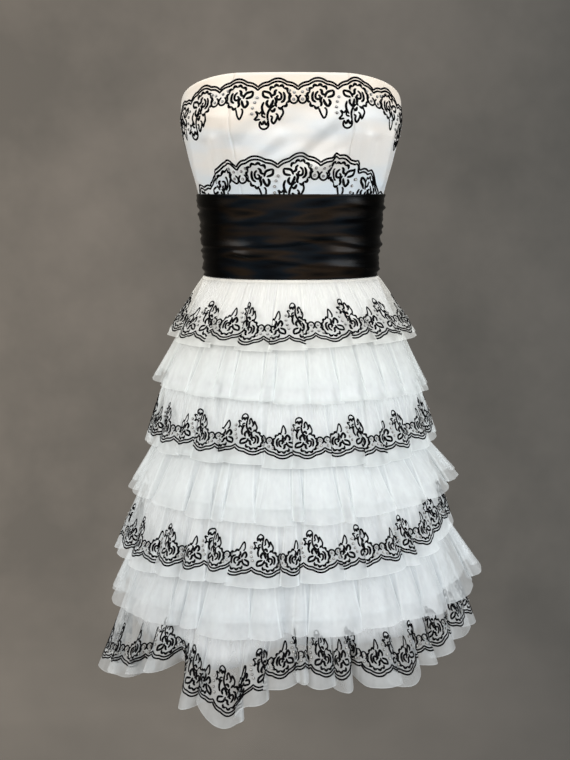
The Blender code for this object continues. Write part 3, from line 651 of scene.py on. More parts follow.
tierRows = {
    # azimuth, seam height, edge height, half width, fold depth, flare
    1: [(-180, 0.000, -0.086, 0.1760, 0.0032, 0.95), (-90, 0.000, -0.082, 0.1745, 0.0032, 0.95),
        (0, 0.000, -0.089, 0.1745, 0.0032, 0.95), (90, 0.000, -0.078, 0.1785, 0.0032, 0.95)],
    2: [(-180, -0.074, -0.152, 0.1965, 0.0038, 1.0), (-90, -0.074, -0.143, 0.1965, 0.0038, 1.0),
        (0, -0.074, -0.153, 0.1945, 0.0038, 1.0), (90, -0.074, -0.155, 0.1960, 0.0038, 1.0)],
    3: [(-180, -0.146, -0.233, 0.2085, 0.0038, 0.90), (-90, -0.142, -0.228, 0.2080, 0.0038, 0.90),
        (0, -0.149, -0.237, 0.2070, 0.0038, 0.90), (90, -0.146, -0.227, 0.2080, 0.0038, 0.90)],
    4: [(-180, -0.226, -0.301, 0.2340, 0.0050, 1.0), (-90, -0.226, -0.296, 0.2320, 0.0050, 1.0),
        (0, -0.226, -0.303, 0.2310, 0.0050, 1.0), (90, -0.226, -0.281, 0.2390, 0.0050, 1.0)],
    5: [(-180, -0.284, -0.382, 0.2500, 0.0064, 0.95), (-90, -0.284, -0.391, 0.2525, 0.0064, 0.95),
        (0, -0.286, -0.380, 0.2490, 0.0064, 0.95), (50, -0.284, -0.366, 0.2430, 0.0046, 0.95),
        (90, -0.272, -0.342, 0.2335, 0.0032, 0.95), (130, -0.280, -0.372, 0.2430, 0.0046, 0.95)],
    6: [(-180, -0.370, -0.447, 0.2630, 0.0075, 0.90), (-90, -0.372, -0.452, 0.2615, 0.0075, 0.90),
        (0, -0.370, -0.447, 0.2590, 0.0075, 0.90), (50, -0.356, -0.440, 0.2610, 0.0072, 0.95),
        (90, -0.330, -0.420, 0.2770, 0.0068, 1.00), (130, -0.360, -0.438, 0.2650, 0.0065, 0.95)],
    7: [(-175, -0.427, -0.519, 0.2740, 0.0120, 1.10), (-162, -0.427, -0.515, 0.2750, 0.0130, 1.10),
        (-147, -0.427, -0.524, 0.2760, 0.0125, 1.10), (-134, -0.427, -0.531, 0.2760, 0.0130, 1.10),
        (-119, -0.427, -0.540, 0.2780, 0.0125, 1.10), (-106, -0.427, -0.558, 0.2810, 0.0120, 1.10),
        (-93.5, -0.427, -0.571, 0.2835, 0.0110, 1.10), (-79.5, -0.427, -0.557, 0.2805, 0.0110, 1.10),
        (-64, -0.427, -0.541, 0.2780, 0.0110, 1.10), (-56, -0.427, -0.527, 0.2760, 0.0120, 1.10),
        (-48.8, -0.427, -0.512, 0.2750, 0.0140, 1.10), (-42, -0.427, -0.500, 0.2745, 0.0160, 1.10),
        (-34, -0.427, -0.549, 0.2740, 0.0150, 1.10), (-29.5, -0.427, -0.540, 0.2740, 0.0120, 1.10),
        (-21.5, -0.427, -0.566, 0.2750, 0.0100, 1.10), (-18.5, -0.427, -0.560, 0.2740, 0.0100, 1.10),
        (-13, -0.427, -0.530, 0.2725, 0.0100, 1.10), (-3, -0.427, -0.510, 0.2710, 0.0120, 1.10),
        (3.2, -0.427, -0.500, 0.2710, 0.0130, 1.10), (10, -0.427, -0.511, 0.2710, 0.0110, 1.10),
        (17.2, -0.427, -0.513, 0.2715, 0.0120, 1.10), (21.5, -0.427, -0.494, 0.2720, 0.0160, 1.10),
        (27, -0.427, -0.515, 0.2720, 0.0120, 1.10), (40, -0.425, -0.522, 0.2730, 0.0110, 1.10),
        (49, -0.422, -0.502, 0.2730, 0.0130, 1.05), (61, -0.410, -0.495, 0.2700, 0.0110, 1.00),
        (74, -0.402, -0.490, 0.2690, 0.0095, 0.95), (86.5, -0.400, -0.492, 0.2700, 0.0085, 0.85),
        (100.5, -0.403, -0.497, 0.2720, 0.0090, 0.90), (114, -0.410, -0.505, 0.2730, 0.0110, 1.00),
        (129, -0.420, -0.514, 0.2740, 0.0120, 1.05), (142, -0.427, -0.521, 0.2740, 0.0125, 1.10),
        (157, -0.427, -0.514, 0.2730, 0.0130, 1.10), (171, -0.427, -0.512, 0.2730, 0.0120, 1.10)],
}

# Folds of the front half as azimuths of their two flanks; the gaps between them are the hollows.
frontFolds = {
    1: [(-89, -74), (-71, -50), (-47, -32), (-29, -14), (-10.5, 5), (8.5, 34), (37.5, 46.5), (49, 64),
        (67.5, 88)],
    2: [(-88, -75), (-71, -55), (-51, -40), (-37.5, -31), (-28.5, -16), (-13.5, -9.5), (-7, 7), (10, 22),
        (25.5, 35), (38.5, 46.5), (50, 58), (61.5, 74), (77, 88)],
    3: [(-88, -82), (-79, -70), (-67, -57), (-53, -47.5), (-44, -34), (-31, -14.5), (-10.5, -1.5), (2.5, 16),
        (20, 31), (34.5, 42.5), (46, 56), (60.5, 72), (75, 88)],
    4: [(-88, -80), (-77, -65), (-59, -46), (-42, -35), (-31.5, -28.5), (-25.5, -17), (-13.5, -1), (0.4, 3.4),
        (6, 18), (20.3, 23.6), (26, 39), (43, 54), (58.5, 72), (75, 88)],
    5: [(-88, -84), (-80, -71), (-67, -56), (-52, -44.5), (-40, -33.5), (-29.5, -24), (-20.5, -6),
        (-2.5, 1.6), (5, 16.5), (20, 26), (29.5, 41), (44.5, 48), (51, 60), (64, 76), (79, 88)],
    6: [(-88, -84), (-81, -70.5), (-67, -46.5), (-43.8, -41), (-38.5, -34.5), (-31, -16), (-13.5, -6.5),
        (1.6, 4.8), (7.5, 23), (26, 37.5), (41, 47.5), (51, 59), (62.5, 76), (79, 88)],
    7: [(-88, -76), (-74, -61.5), (-60, -56), (-51, -46.5), (-36, -32), (-29.5, -18.5), (-16.5, -9.8),
        (-7, 0.8), (1.9, 4.5), (6.6, 13.2), (15.3, 19), (24.5, 35.5), (37, 44.5), (47, 51), (54, 63),
        (66, 76), (79, 88)],
}

tiers = {
    "standOff": 1.6 * mm, "waistStep": 0.8 * mm, "columns": 1300, "rows": 20,
    "underColumns": 760, "underRows": 12, "underInset": 2.6 * mm, "underTurn": 0.4, "underShort": 0.76,
    "seamRoll": 0.35, "rollShare": 0.30, "gathersOfCut": 1.3, "gatherTurns": ((110, 230), (36, 90), (14, 40)),
    "girth": 0.3, "flankBreadth": 1.5 * mm,
    # growth of the folds, pieces at the back, reach of the roll at the free edge (mm), small gathers at three
    # depths (mm), and for each fold at random: lean to a side, rise of the free edge, extra depth (mm)
    "columnsOfList": ("number", "kind", "growth", "backs", "roll", "fine", "own"),
    "list": [
        (1, "embroidered", 1.2, 2, 9.5, (0.3, 0.25, 0.9), (8.0, 5.0, 2.5)),
        (2, "plain", 1.2, 2, 8.0, (0.12, 0.12, 1.0), (6.0, 2.2, 3.0)),
        (3, "embroidered", 1.2, 1, 10.5, (0.6, 0.4, 1.0), (8.0, 5.0, 3.0)),
        (4, "plain", 1.2, 1, 9.5, (0.12, 0.18, 1.3), (7.0, 4.0, 3.5)),
        (5, "embroidered", 1.2, 1, 11.0, (0.6, 0.5, 1.2), (8.0, 6.0, 3.5)),
        (6, "plain", 1.2, 1, 10.5, (0.12, 0.25, 1.5), (7.0, 6.0, 4.5)),
        (7, "embroidered", 1.5, 1, 12.0, (0.6, 0.6, 1.3), (6.0, 3.5, 8.0)),
    ],
}


def preparedTier(row):
    # Flanks of the folds all round: the front ones as listed, and the same turned to the back with a sway.
    tier = dict(zip(tiers["columnsOfList"], row))
    number = tier["number"]
    front = np.radians(frontFolds[number])
    folds = np.concatenate([front, front + math.pi + 0.06 * np.sin(2.0 * front)])
    flanks = folds.ravel()
    tier["rowTable"] = np.array(tierRows[number])
    tier["flankCount"] = len(flanks)
    tier["flanksAround"] = np.concatenate([flanks - 2.0 * math.pi, flanks, flanks + 2.0 * math.pi])
    tier["gathers"] = [waveTable(100 * number + step, *turns)
                       for step, turns in enumerate(tiers["gatherTurns"])]
    tier["draws"] = np.random.default_rng(500 + number).uniform(-1.0, 1.0, (3, len(folds)))
    breadth = (folds[:, 1] - folds[:, 0]) * tier["rowTable"][:, 3].mean()
    tier["rolls"] = np.minimum(tier["roll"] * mm, tiers["rollShare"] * breadth)
    tier["flankShare"] = np.random.default_rng(700 + number).uniform(0.25, 1.0, len(flanks))
    return tier


def foldPhase(tier, azimuth):
    # Half a turn over each fold and half a turn over the hollow after it.
    count = tier["flankCount"]
    return math.pi * np.interp(azimuth, tier["flanksAround"], np.arange(-count, 2 * count))


def ownOfFold(values, phase):
    # A fold's own number, even over its crest and changing in the hollow beside it.
    count = len(values)
    place = (phase / (2.0 * math.pi) + 0.25) % count
    edges = np.arange(count)[:, None] + (0.16, 0.84)
    places = np.concatenate([[-0.16], edges.ravel(), [count + 0.16]])
    return np.interp(place, places, np.concatenate([values[-1:], np.repeat(values, 2), values[:1]]))


def fineGathers(tier, azimuth, level):
    # Small gathers: tight below the seam, wider and deeper towards the free edge.
    tight, middle, wide = (readWave(wave, azimuth) for wave in tier["gathers"])
    sizes = tier["fine"]
    nearSeam = np.clip(level / 0.08, 0.0, 1.0) * (1.0 - level) ** 1.5
    halfway = sizes[1] * np.sin(np.pi * np.clip(level, 0.0, 1.0) ** 0.7) * 0.8
    nearEdge = sizes[2] * level ** 1.3
    return mm * (sizes[0] * nearSeam * tight + halfway * middle + nearEdge * (0.7 * wide + 0.3 * middle))


def tierSurface(tier, azimuth, level, inset=0.0, shift=0.0):
    # Level 0 is the seam and 1 the free edge. The width falls from the seam to the crests' width, less the
    # depth of the wave; the flanks roll over the hollow beside them, and small gathers lie over all.
    rows = tier["rowTable"]
    seam = np.minimum(around(rows, 1, azimuth), innerSkirt["top"])
    seamWidth = skirtHalfWidth(seam) + tiers["standOff"]
    seamWidth = seamWidth + (tiers["waistStep"] if tier["number"] == 1 else 0.0)
    phase = foldPhase(tier, azimuth)
    lean, rise, deeper = tier["own"]
    sideways, up, inwards = (ownOfFold(values, phase) for values in tier["draws"])
    depth = around(rows, 4, azimuth) * level ** tier["growth"]
    depth = depth + deeper * mm * (0.7 + 0.3 * inwards) * level ** 2.0
    width = seamWidth + (around(rows, 3, azimuth) - seamWidth) * level ** around(rows, 5, azimuth)
    width = width - depth * (1.0 - np.sin(phase))
    width = width + fineGathers(tier, azimuth + shift, level) - inset * level
    height = seam + (around(rows, 2, azimuth) + rise * mm * up - seam) * level
    reach = tiers["seamRoll"] * depth * (1.0 - level ** 2) + ownOfFold(tier["rolls"], phase) * level ** 2.2
    slide = lean * mm * sideways * (0.5 + 0.5 * np.sin(phase)) * level ** 1.6
    turn = azimuth + (slide - reach * np.cos(phase)) / width
    return toPoints(turn, skirtRadius(turn, height, width), height)


def foldMarks(tier, azimuth, level, fall):
    # Nearness to a flank as a bell of the distance, depth in the hollow as the strength of painted shade, and
    # distance below the seam.
    places = tier["flanksAround"]
    index = np.searchsorted(places, azimuth)
    before, after = azimuth - places[index - 1], places[index] - azimuth
    nearest = np.where(before < after, index - 1, index) % tier["flankCount"]
    gap = np.minimum(before, after) * tier["rowTable"][0, 3]
    flank = bell(gap, tiers["flankBreadth"]) * tier["flankShare"][nearest] * level ** 0.6
    paintedHollowShade = np.clip(-np.sin(foldPhase(tier, azimuth)), 0.0, 1.0) ** 0.7 * level ** 0.5
    return np.stack([flank, paintedHollowShade, fall], axis=-1).reshape(-1, 3)


def addTierCloth(tier, name, node, start, end, columns, rows, inset=0.0, shift=0.0, length=1.0):
    # The cut is a flared strip: its free edge as modelled, and a seam edge that the gathers take up.
    azimuths = np.radians(np.linspace(start, end, round(columns * (end - start) / 360.0) + 1))
    levels, turns = np.meshgrid(np.linspace(length, 0.0, rows), azimuths, indexing="ij")
    points = tierSurface(tier, turns, levels, inset, shift)
    across = runLength(points[0]) + math.radians(start) * tiers["girth"]
    fall = np.linalg.norm(points[0] - points[-1], axis=-1)
    uv = np.stack([np.broadcast_to(across, levels.shape), (length - levels) * fall / length], axis=-1)
    marks = foldMarks(tier, turns, levels, levels * fall / length)
    tulle = tulles["hem" if tier["number"] == 7 else tier["kind"]]
    piece = addCloth(name, points, uv, tulle, node, marks=marks)


def addTier(tier):
    sides = [("front", -90.0, 90.0), ("back", 90.0, 270.0)]
    if tier["backs"] == 2:
        sides[1:] = [("back_left", 90.0, 179.6), ("back_right", -179.6, -90.0)]
    for part, start, end in sides:
        name = f"tier{tier['number']}{titled(part)}"
        node = f"tier_{tier['number']}_{tier['kind']}_{part}"
        addTierCloth(tier, name, node, start, end, tiers["columns"], tiers["rows"])
        if tier["kind"] == "plain":
            addTierCloth(tier, name + "Under", None, start, end, tiers["underColumns"], tiers["underRows"],
                         tiers["underInset"], tiers["underTurn"], tiers["underShort"])


allTiers = [preparedTier(row) for row in tiers["list"]]
for tier in allTiers:
    addTier(tier)
print("tiers made")


# Embroidery. Motifs are drawn flat in millimetres: along the cloth, and in from the border's line.

embroidery = {
    "pitch": 52.0, "lineGap": 3.9, "cuspPlace": 24.5, "step": 1.45, "arcStep": 1.3, "curveShares": 10,
    "lift": 0.15 * mm, "belly": 0.85, "longStroke": 22, "tip": 0.45,
    # height of a lobe by its share of the pitch; the cusps lie on the side of the motifs
    "lobe": np.array([
        (0.0, 0.0), (0.05, 2.6), (0.13, 5.0), (0.20, 5.9), (0.27, 6.4), (0.34, 8.6), (0.42, 10.4),
        (0.5, 10.9), (0.58, 10.4), (0.66, 8.6), (0.73, 6.4), (0.80, 5.9), (0.87, 5.0), (0.95, 2.6),
        (1.0, 0.0)]),
    "lobeHeight": 10.9,
    "mirroredPlace": 50.0, "curlPlace": 76.5,
    "beads": np.array([(24.4, 20.5), (21.6, 26.5), (19.4, 33.5), (19.0, 41.0), (65.5, 11.5), (71.5, 14.0),
                       (82.0, 13.5), (88.5, 10.5), (70.9, 22.8), (82.1, 22.8)]),
}

# A list of points is a smooth line, and a tuple an arc: centre, radius, start and end in degrees.
motifs = {
    # fat petals and two pointed leaves, inside the flower's toothed rim
    "petals": [
        [(-7.6, 13.4), (-9.4, 18.6), (-8.6, 24.2), (-4.6, 27.0)],
        [(-1.4, 13.0), (-5.0, 16.8), (-4.8, 22.2), (-0.6, 23.2), (0.6, 19.6), (-2.0, 18.2)],
        [(0.2, 10.6), (3.0, 12.6), (3.4, 16.4), (7.2, 18.2)],
        [(3.4, 20.4), (0.8, 24.6), (2.0, 29.0), (0.4, 32.6)],
        [(6.4, 21.4), (9.8, 14.8), (18.8, 12.0)],
        [(18.8, 12.0), (17.4, 18.6), (9.6, 21.4)],
        [(4.6, 23.2), (6.2, 28.2), (9.6, 33.6)],
        [(9.6, 33.6), (13.0, 28.0), (11.0, 23.4)]],
    "dropLeaf": [
        [(-1.6, 34.4), (0.0, 39.5), (1.6, 44.0), (3.8, 47.6), (6.2, 44.4), (7.6, 39.0), (6.8, 35.2),
         (4.8, 34.4)]],
    # stem that leaves the flower and ends in a round loop, with pointed leaves in pairs
    "spray": [
        [(3.0, 30.5), (7.0, 33.0), (10.4, 37.5), (12.0, 43.0), (11.4, 50.0)],
        ((16.6, 54.4), 6.0, -46, 226),
        [(10.6, 49.4), (13.4, 55.0), (16.6, 50.2), (18.6, 54.6), (21.8, 50.8)],
        [(-5.8, 33.6), (-7.6, 39.6), (-4.8, 45.4), (-2.2, 49.0), (-0.8, 43.2), (1.8, 40.4)],
        [(-0.6, 43.4), (1.2, 48.6), (4.6, 53.4), (7.0, 49.6), (6.0, 45.2), (8.8, 43.6)],
        [(2.0, 33.8), (5.0, 38.0), (8.2, 36.2)],
        [(14.4, 45.6), (19.0, 43.4), (17.2, 36.4), (22.2, 40.6), (26.4, 37.6), (24.4, 43.2), (28.4, 48.4),
         (21.6, 48.0)],
        [(16.4, 26), (18.8, 32), (17.6, 38.4), (14.6, 42.4)]],
    "curlPair": [((-5.6, 22.6), 5.2, -70, 242), ((5.6, 22.6), 5.2, -110, -422)],
}


def smoothLine(points):
    # Catmull-Rom curve through the points, read at even spacing.
    points = np.asarray(points, dtype=float)
    run = np.concatenate([2 * points[:1] - points[1:2], points, 2 * points[-1:] - points[-2:-1]])
    share = np.linspace(0.0, 1.0, embroidery["curveShares"], endpoint=False)[None, :, None]
    before, first, second, after = (run[k:len(run) - 3 + k, None, :] for k in range(4))
    bend = (2 * before - 5 * first + 4 * second - after) * share ** 2
    twist = (3 * first - before - 3 * second + after) * share ** 3
    curve = 0.5 * (2 * first + (second - before) * share + bend + twist)
    curve = np.concatenate([curve.reshape(-1, 2), points[-1:]])
    length = runLength(curve)
    even = np.linspace(0.0, length[-1], max(3, round(length[-1] / embroidery["step"]) + 1))
    return np.stack([np.interp(even, length, curve[:, 0]), np.interp(even, length, curve[:, 1])], axis=-1)


def arc(centre, radius, start, end):
    count = max(5, round(abs(end - start) / 57.3 * radius / embroidery["arcStep"]) + 1)
    return polar(np.radians(np.linspace(start, end, count)), radius) + centre


def petalRim(centre, radius, start, end, teeth):
    # Round teeth along an arc, each a stroke of its own: the radius falls to a sharp notch between them.
    share = np.linspace(0.0, 1.0, teeth * 7 + 1)
    lean = share + 0.10 / teeth * np.sin(2.0 * np.pi * teeth * share)
    turn = np.radians(start + (end - start) * lean)
    notch = 1.0 - np.abs(np.sin(np.pi * teeth * share)) ** 0.55
    reach = radius * (1.0 + 0.06 * np.sin(np.pi * share) - 0.17 * notch)
    rim = polar(turn, reach) + centre
    return [rim[7 * tooth:7 * tooth + 8] for tooth in range(teeth)]


def drawn(name):
    return [arc(*shape) if isinstance(shape, tuple) else smoothLine(shape) for shape in motifs[name]]


flowerHead = petalRim((-0.4, 20.0), 15.0, -40, -268, 8) + drawn("petals")
flowerWithLeaf = flowerHead + drawn("dropLeaf")
flowerWithSpray = flowerHead + drawn("spray")
curlPair = drawn("curlPair")


def borderPattern(turns, start, offset, scale, tall=1.0):
    # One border in flat metres: along the cloth, and in from its edge. A double line whose lobes are read
    # from the table, with flowers, sprays, curls and beads that repeat every two lobes.
    pitch, lineGap = embroidery["pitch"], embroidery["lineGap"]
    along = np.arange(0.0, turns * 2 * pitch + 0.1, embroidery["step"])
    lobe = readTable(embroidery["lobe"], ((along - embroidery["cuspPlace"]) / pitch) % 1.0)
    outer = tall * (embroidery["lobeHeight"] - lobe)
    strokes = [np.stack([along, outer + rise - lineGap], axis=-1) for rise in (0.0, lineGap)]
    dots = []
    for turn in range(turns):
        place = turn * 2.0 * pitch
        strokes += [stroke * (1.0, tall) + (place, 0.0) for stroke in flowerWithLeaf]
        mirrored = place + embroidery["mirroredPlace"]
        strokes += [stroke * (-1.0, tall) + (mirrored, 0.0) for stroke in flowerWithSpray]
        strokes += [stroke * (1.0, tall) + (place + embroidery["curlPlace"], 0.0) for stroke in curlPair]
        dots.append(embroidery["beads"] * (1.0, tall) + (place, 0.0))
    strokes, dots = ([((line + (0.0, lineGap)) * scale + (start, offset)) * mm for line in lines]
                     for lines in (strokes, dots))
    return strokes, np.concatenate(dots)


def surfaceFrame(surface, flat):
    # Position and outward normal of the cloth under flat places, from small steps both ways, and how far the
    # cloth is gathered there.
    small = 0.4 * mm
    along, inward = flat[:, 0], flat[:, 1]
    place = surface(along, inward)
    across = surface(along + small, inward) - surface(along - small, inward)
    down = surface(along, inward + small) - surface(along, inward - small)
    normal = unit(np.cross(across, down))
    outward = (normal * place * (1.0, 1.0, 0.0)).sum(axis=-1, keepdims=True)
    return place, normal * np.sign(outward), np.linalg.norm(across, axis=-1) / (2.0 * small)


def sewStrokes(name, strokes, surface, cord, lowest):
    # Each stroke becomes a low ridged ribbon, three points across, sewn on the cloth's outer face. Its ends
    # are narrow, and a short stroke widens by a sine towards its middle.
    flat = np.concatenate(strokes)
    sizes = np.array([len(stroke) for stroke in strokes])
    place, normal, squeeze = surfaceFrame(surface, flat)
    last = np.zeros(len(flat), dtype=bool)
    last[np.cumsum(sizes) - 1] = True
    first = np.roll(last, 1)
    following = np.where(last[:, None], place, np.roll(place, -1, axis=0))
    previous = np.where(first[:, None], place, np.roll(place, 1, axis=0))
    side = unit(np.cross(normal, following - previous))
    ownSize = np.repeat(sizes, sizes)
    share = (np.arange(len(flat)) - np.repeat(np.cumsum(sizes) - sizes, sizes)) / np.maximum(ownSize - 1, 1)
    belly = embroidery["belly"] * np.clip(1.0 - ownSize / embroidery["longStroke"], 0.0, 1.0)
    half = np.where(first | last, embroidery["tip"], 1.0) + belly * np.sin(np.pi * share)
    half = (half * np.clip(1.3 * squeeze, 0.7, 1.0))[:, None] * cord["halfWidth"]
    low = place + normal * embroidery["lift"]
    points = np.stack([low + side * half, place + normal * cord["height"], low - side * half], axis=1)
    length = np.cumsum(np.linalg.norm(place - previous, axis=-1))
    width = np.tile([0.0, 0.5, 1.0], len(flat)) * 2.0 * cord["halfWidth"]
    uv = np.stack([np.repeat(length, 3), width], axis=-1)
    start = np.nonzero(~last)[0]
    shown = place[:, 2] > lowest
    start = start[shown[start] & shown[start + 1], None] * 3
    faces = np.concatenate([start + (0, 1, 4, 3), start + (1, 2, 5, 4)])
    used, renumbered = np.unique(faces, return_inverse=True)
    faces = renumbered.reshape(-1, 4)[:, ::-1]
    addPiece(name, points.reshape(-1, 3)[used], faces, thread, uv[used])


def sewBeads(name, dots, surface, radius, lowest):
    # Each bead is a small dome: a rim of six points, a ring of six and a crown.
    place, normal = surfaceFrame(surface, dots)[:2]
    shown = place[:, 2] > lowest
    place, normal = place[shown, None, :], normal[shown, None, :]
    side = unit(np.cross((0.0, 0.0, 1.0), normal))
    turn = np.radians(np.arange(0, 360, 60))[None, :, None]
    ring = (np.cos(turn) * side + np.sin(turn) * np.cross(normal, side)) * radius
    foot = place + ring + normal * 0.1 * mm
    shoulder = place + ring * 0.72 + normal * radius * 0.75
    points = np.concatenate([foot, shoulder, place + normal * radius * 1.05], axis=1).reshape(-1, 3)
    near = np.arange(6)
    far = (near + 1) % 6
    corners = [(near, far, far + 6), (near, far + 6, near + 6), (near + 6, far + 6, np.full(6, 12))]
    one = np.concatenate([np.stack(triangle, axis=-1) for triangle in corners])
    faces = (one + 13 * np.arange(len(place))[:, None, None]).reshape(-1, 3)
    uv = np.tile(np.stack([np.zeros(13), np.repeat([0.0, 0.5, 1.0], [6, 6, 1])], axis=-1), (len(place), 1))
    addPiece(name, points, faces, bead, uv)


def sewBorder(name, strokes, dots, surface, cord, lowest=-math.inf):
    sewStrokes(name + "Border", strokes, surface, cord, lowest)
    sewBeads(name + "Beads", dots, surface, cord["beadRadius"], lowest)


tierBorders = {
    # margin under the lines and start along the edge (mm), and the motifs' height as a share of the full one
    1: {"margin": 8.0, "start": 20.0, "tall": 0.95}, 3: {"margin": 13.0, "start": -15.0, "tall": 0.82},
    5: {"margin": 14.0, "start": 34.0, "tall": 0.87}, 7: {"margin": 14.0, "start": 6.0, "tall": 0.88},
    "cord": {"halfWidth": 1.12 * mm, "height": 0.65 * mm, "beadRadius": 1.9 * mm},
    # level along which a border is measured, azimuths read there, how many are smoothed together, and how
    # close the repeats are before they are fitted to the length
    "level": 0.88, "reads": 9001, "smoothed": 401, "closeness": 0.97,
}


def addTierBorder(tier):
    # Lengths are taken along a line near the free edge, and heights down the cloth's smoothed slant.
    number, settings = tier["number"], tierBorders[tier["number"]]
    azimuths = np.linspace(-math.pi, math.pi, tierBorders["reads"])
    seam, line, edge = (tierSurface(tier, azimuths, np.full_like(azimuths, level))
                        for level in (0.0, tierBorders["level"], 1.0))
    length = runLength(line)
    total = length[-1]
    slant = np.linalg.norm(edge - seam, axis=-1)
    window = tierBorders["smoothed"]
    beside = window // 2
    slant = np.concatenate([slant[-beside:], slant, slant[:beside]])
    slant = np.convolve(slant, np.ones(window) / window, mode="valid")

    def surface(along, inward):
        azimuth = np.interp(along % total, length, azimuths)
        level = 1.0 - inward / np.interp(azimuth, azimuths, slant)
        return tierSurface(tier, azimuth, np.clip(level, 0.02, 1.0))

    period = 2.0 * embroidery["pitch"]
    turns = round(total / (tierBorders["closeness"] * period * mm))
    scale = total / mm / (turns * period)
    strokes, dots = borderPattern(turns, settings["start"], settings["margin"], scale, settings["tall"])
    samples = sum(len(stroke) for stroke in strokes)
    print(f"tier {number} border: {total:.3f} m, {turns} repeats, scale {scale:.3f}, {samples} samples")
    sewBorder(f"tier{number}", strokes, dots, surface, tierBorders["cord"])


for tier in allTiers:
    if tier["kind"] == "embroidered":
        addTierBorder(tier)

bodiceBorders = {
    "cord": {"halfWidth": 1.3 * mm, "height": 0.75 * mm, "beadRadius": 2.1 * mm},
    "reads": 4001, "backGap": 0.02, "endGap": 4 * mm, "covered": 1.0 * mm,
    # where lengths are measured, below the neckline or at a height, and start (mm) and scale of each border
    "neckDrop": 0.02, "neckPlan": (35.4, 0.985), "waistHeight": 0.14, "waistPlan": (-43.0, 1.05),
    # azimuth and margin under the neckline (mm)
    "neckMargin": np.array([
        (-180, 12.0), (-112, 24.0), (-88, 25.0), (-72, 13.0), (-60, 9.0), (-36, 8.2), (0, 7.6), (30, 6.5),
        (44, 4.5), (62, 8.0), (86, 15.0), (112, 22.0)]),
    # azimuth and height of the waist border's crest line
    "waistLine": np.array([
        (-180, 0.119), (-150, 0.125), (-125, 0.119), (-105, 0.108), (-88, 0.104), (-68, 0.126), (-60, 0.135),
        (-52, 0.144), (-42.5, 0.161), (-39, 0.158), (-33, 0.160), (-10, 0.161), (10, 0.165), (27, 0.163),
        (29.5, 0.167), (32, 0.162), (43, 0.160), (45.5, 0.163), (48, 0.152), (56, 0.144), (68, 0.124),
        (88, 0.104), (105, 0.108), (125, 0.119), (150, 0.125)]),
}


def neckLine(azimuth):
    return neckHeight(azimuth) - around(bodiceBorders["neckMargin"], 1, azimuth) * mm


def waistLine(azimuth):
    return around(bodiceBorders["waistLine"], 1, azimuth)


def addBodiceBorder(name, crestLine, measuredAt, start, scale, lowest=-math.inf):
    # The border hangs from its crest line; lengths are taken both ways from the centre front, at one height.
    azimuths = np.linspace(bodiceBorders["backGap"] - math.pi, math.pi - bodiceBorders["backGap"],
                           bodiceBorders["reads"])
    length = runLength(bodiceSurface(azimuths, measuredAt(azimuths)))
    length = length - np.interp(0.0, azimuths, length)

    def surface(along, inward):
        azimuth = np.interp(along, length, azimuths)
        return bodiceSurface(azimuth, crestLine(azimuth) - inward)

    period = 2.0 * embroidery["pitch"] * scale
    turns = math.ceil((length[-1] - length[0]) / mm / period) + 1
    strokes, dots = borderPattern(turns + 1, start - period * math.ceil(turns / 2), 0.0, scale)
    low, high = length[0] + bodiceBorders["endGap"], length[-1] - bodiceBorders["endGap"]
    strokes = [stroke[(stroke[:, 0] > low) & (stroke[:, 0] < high)] for stroke in strokes]
    strokes = [stroke for stroke in strokes if len(stroke) > 2]
    dots = dots[(dots[:, 0] > low) & (dots[:, 0] < high)]
    sewBorder(name, strokes, dots, surface, bodiceBorders["cord"], lowest)


addBodiceBorder("neck", neckLine, lambda azimuth: neckHeight(azimuth) - bodiceBorders["neckDrop"],
                *bodiceBorders["neckPlan"])
addBodiceBorder("waist", waistLine, lambda azimuth: np.full_like(azimuth, bodiceBorders["waistHeight"]),
                *bodiceBorders["waistPlan"], cummerbund["top"] - bodiceBorders["covered"])
print("embroidery made")


# Zip.

zipSettings = {
    "top": 0.199, "end": -0.127, "pitch": 1.5 * mm, "toothReach": 1.5 * mm, "toothHeight": 0.9 * mm,
    "halfTape": 1.8 * mm, "tapeRows": 90, "tapeColumns": 5,
    # a tooth's profile across the zip, as shares of its reach and height, and its four rims along the zip
    "across": np.array([-0.2, 0.1, 0.55, 0.95, 1.0]), "out": np.array([0.0, 0.75, 1.0, 0.7, 0.0]),
    "rims": np.array([-0.5, -0.28, 0.28, 0.5]) * 0.8, "swell": np.array([0.0, 1.0, 1.0, 0.0]),
}


def zipFace(height):
    # How far back the zip's face lies at a height: on the bodice above the waist, on the inner skirt below.
    back = np.full_like(height, math.pi)
    above = bodyRadius(back, np.maximum(height, 0.0))
    below = skirtRadius(back, height, skirtHalfWidth(height))
    return np.where(height < 0.0, below, above)


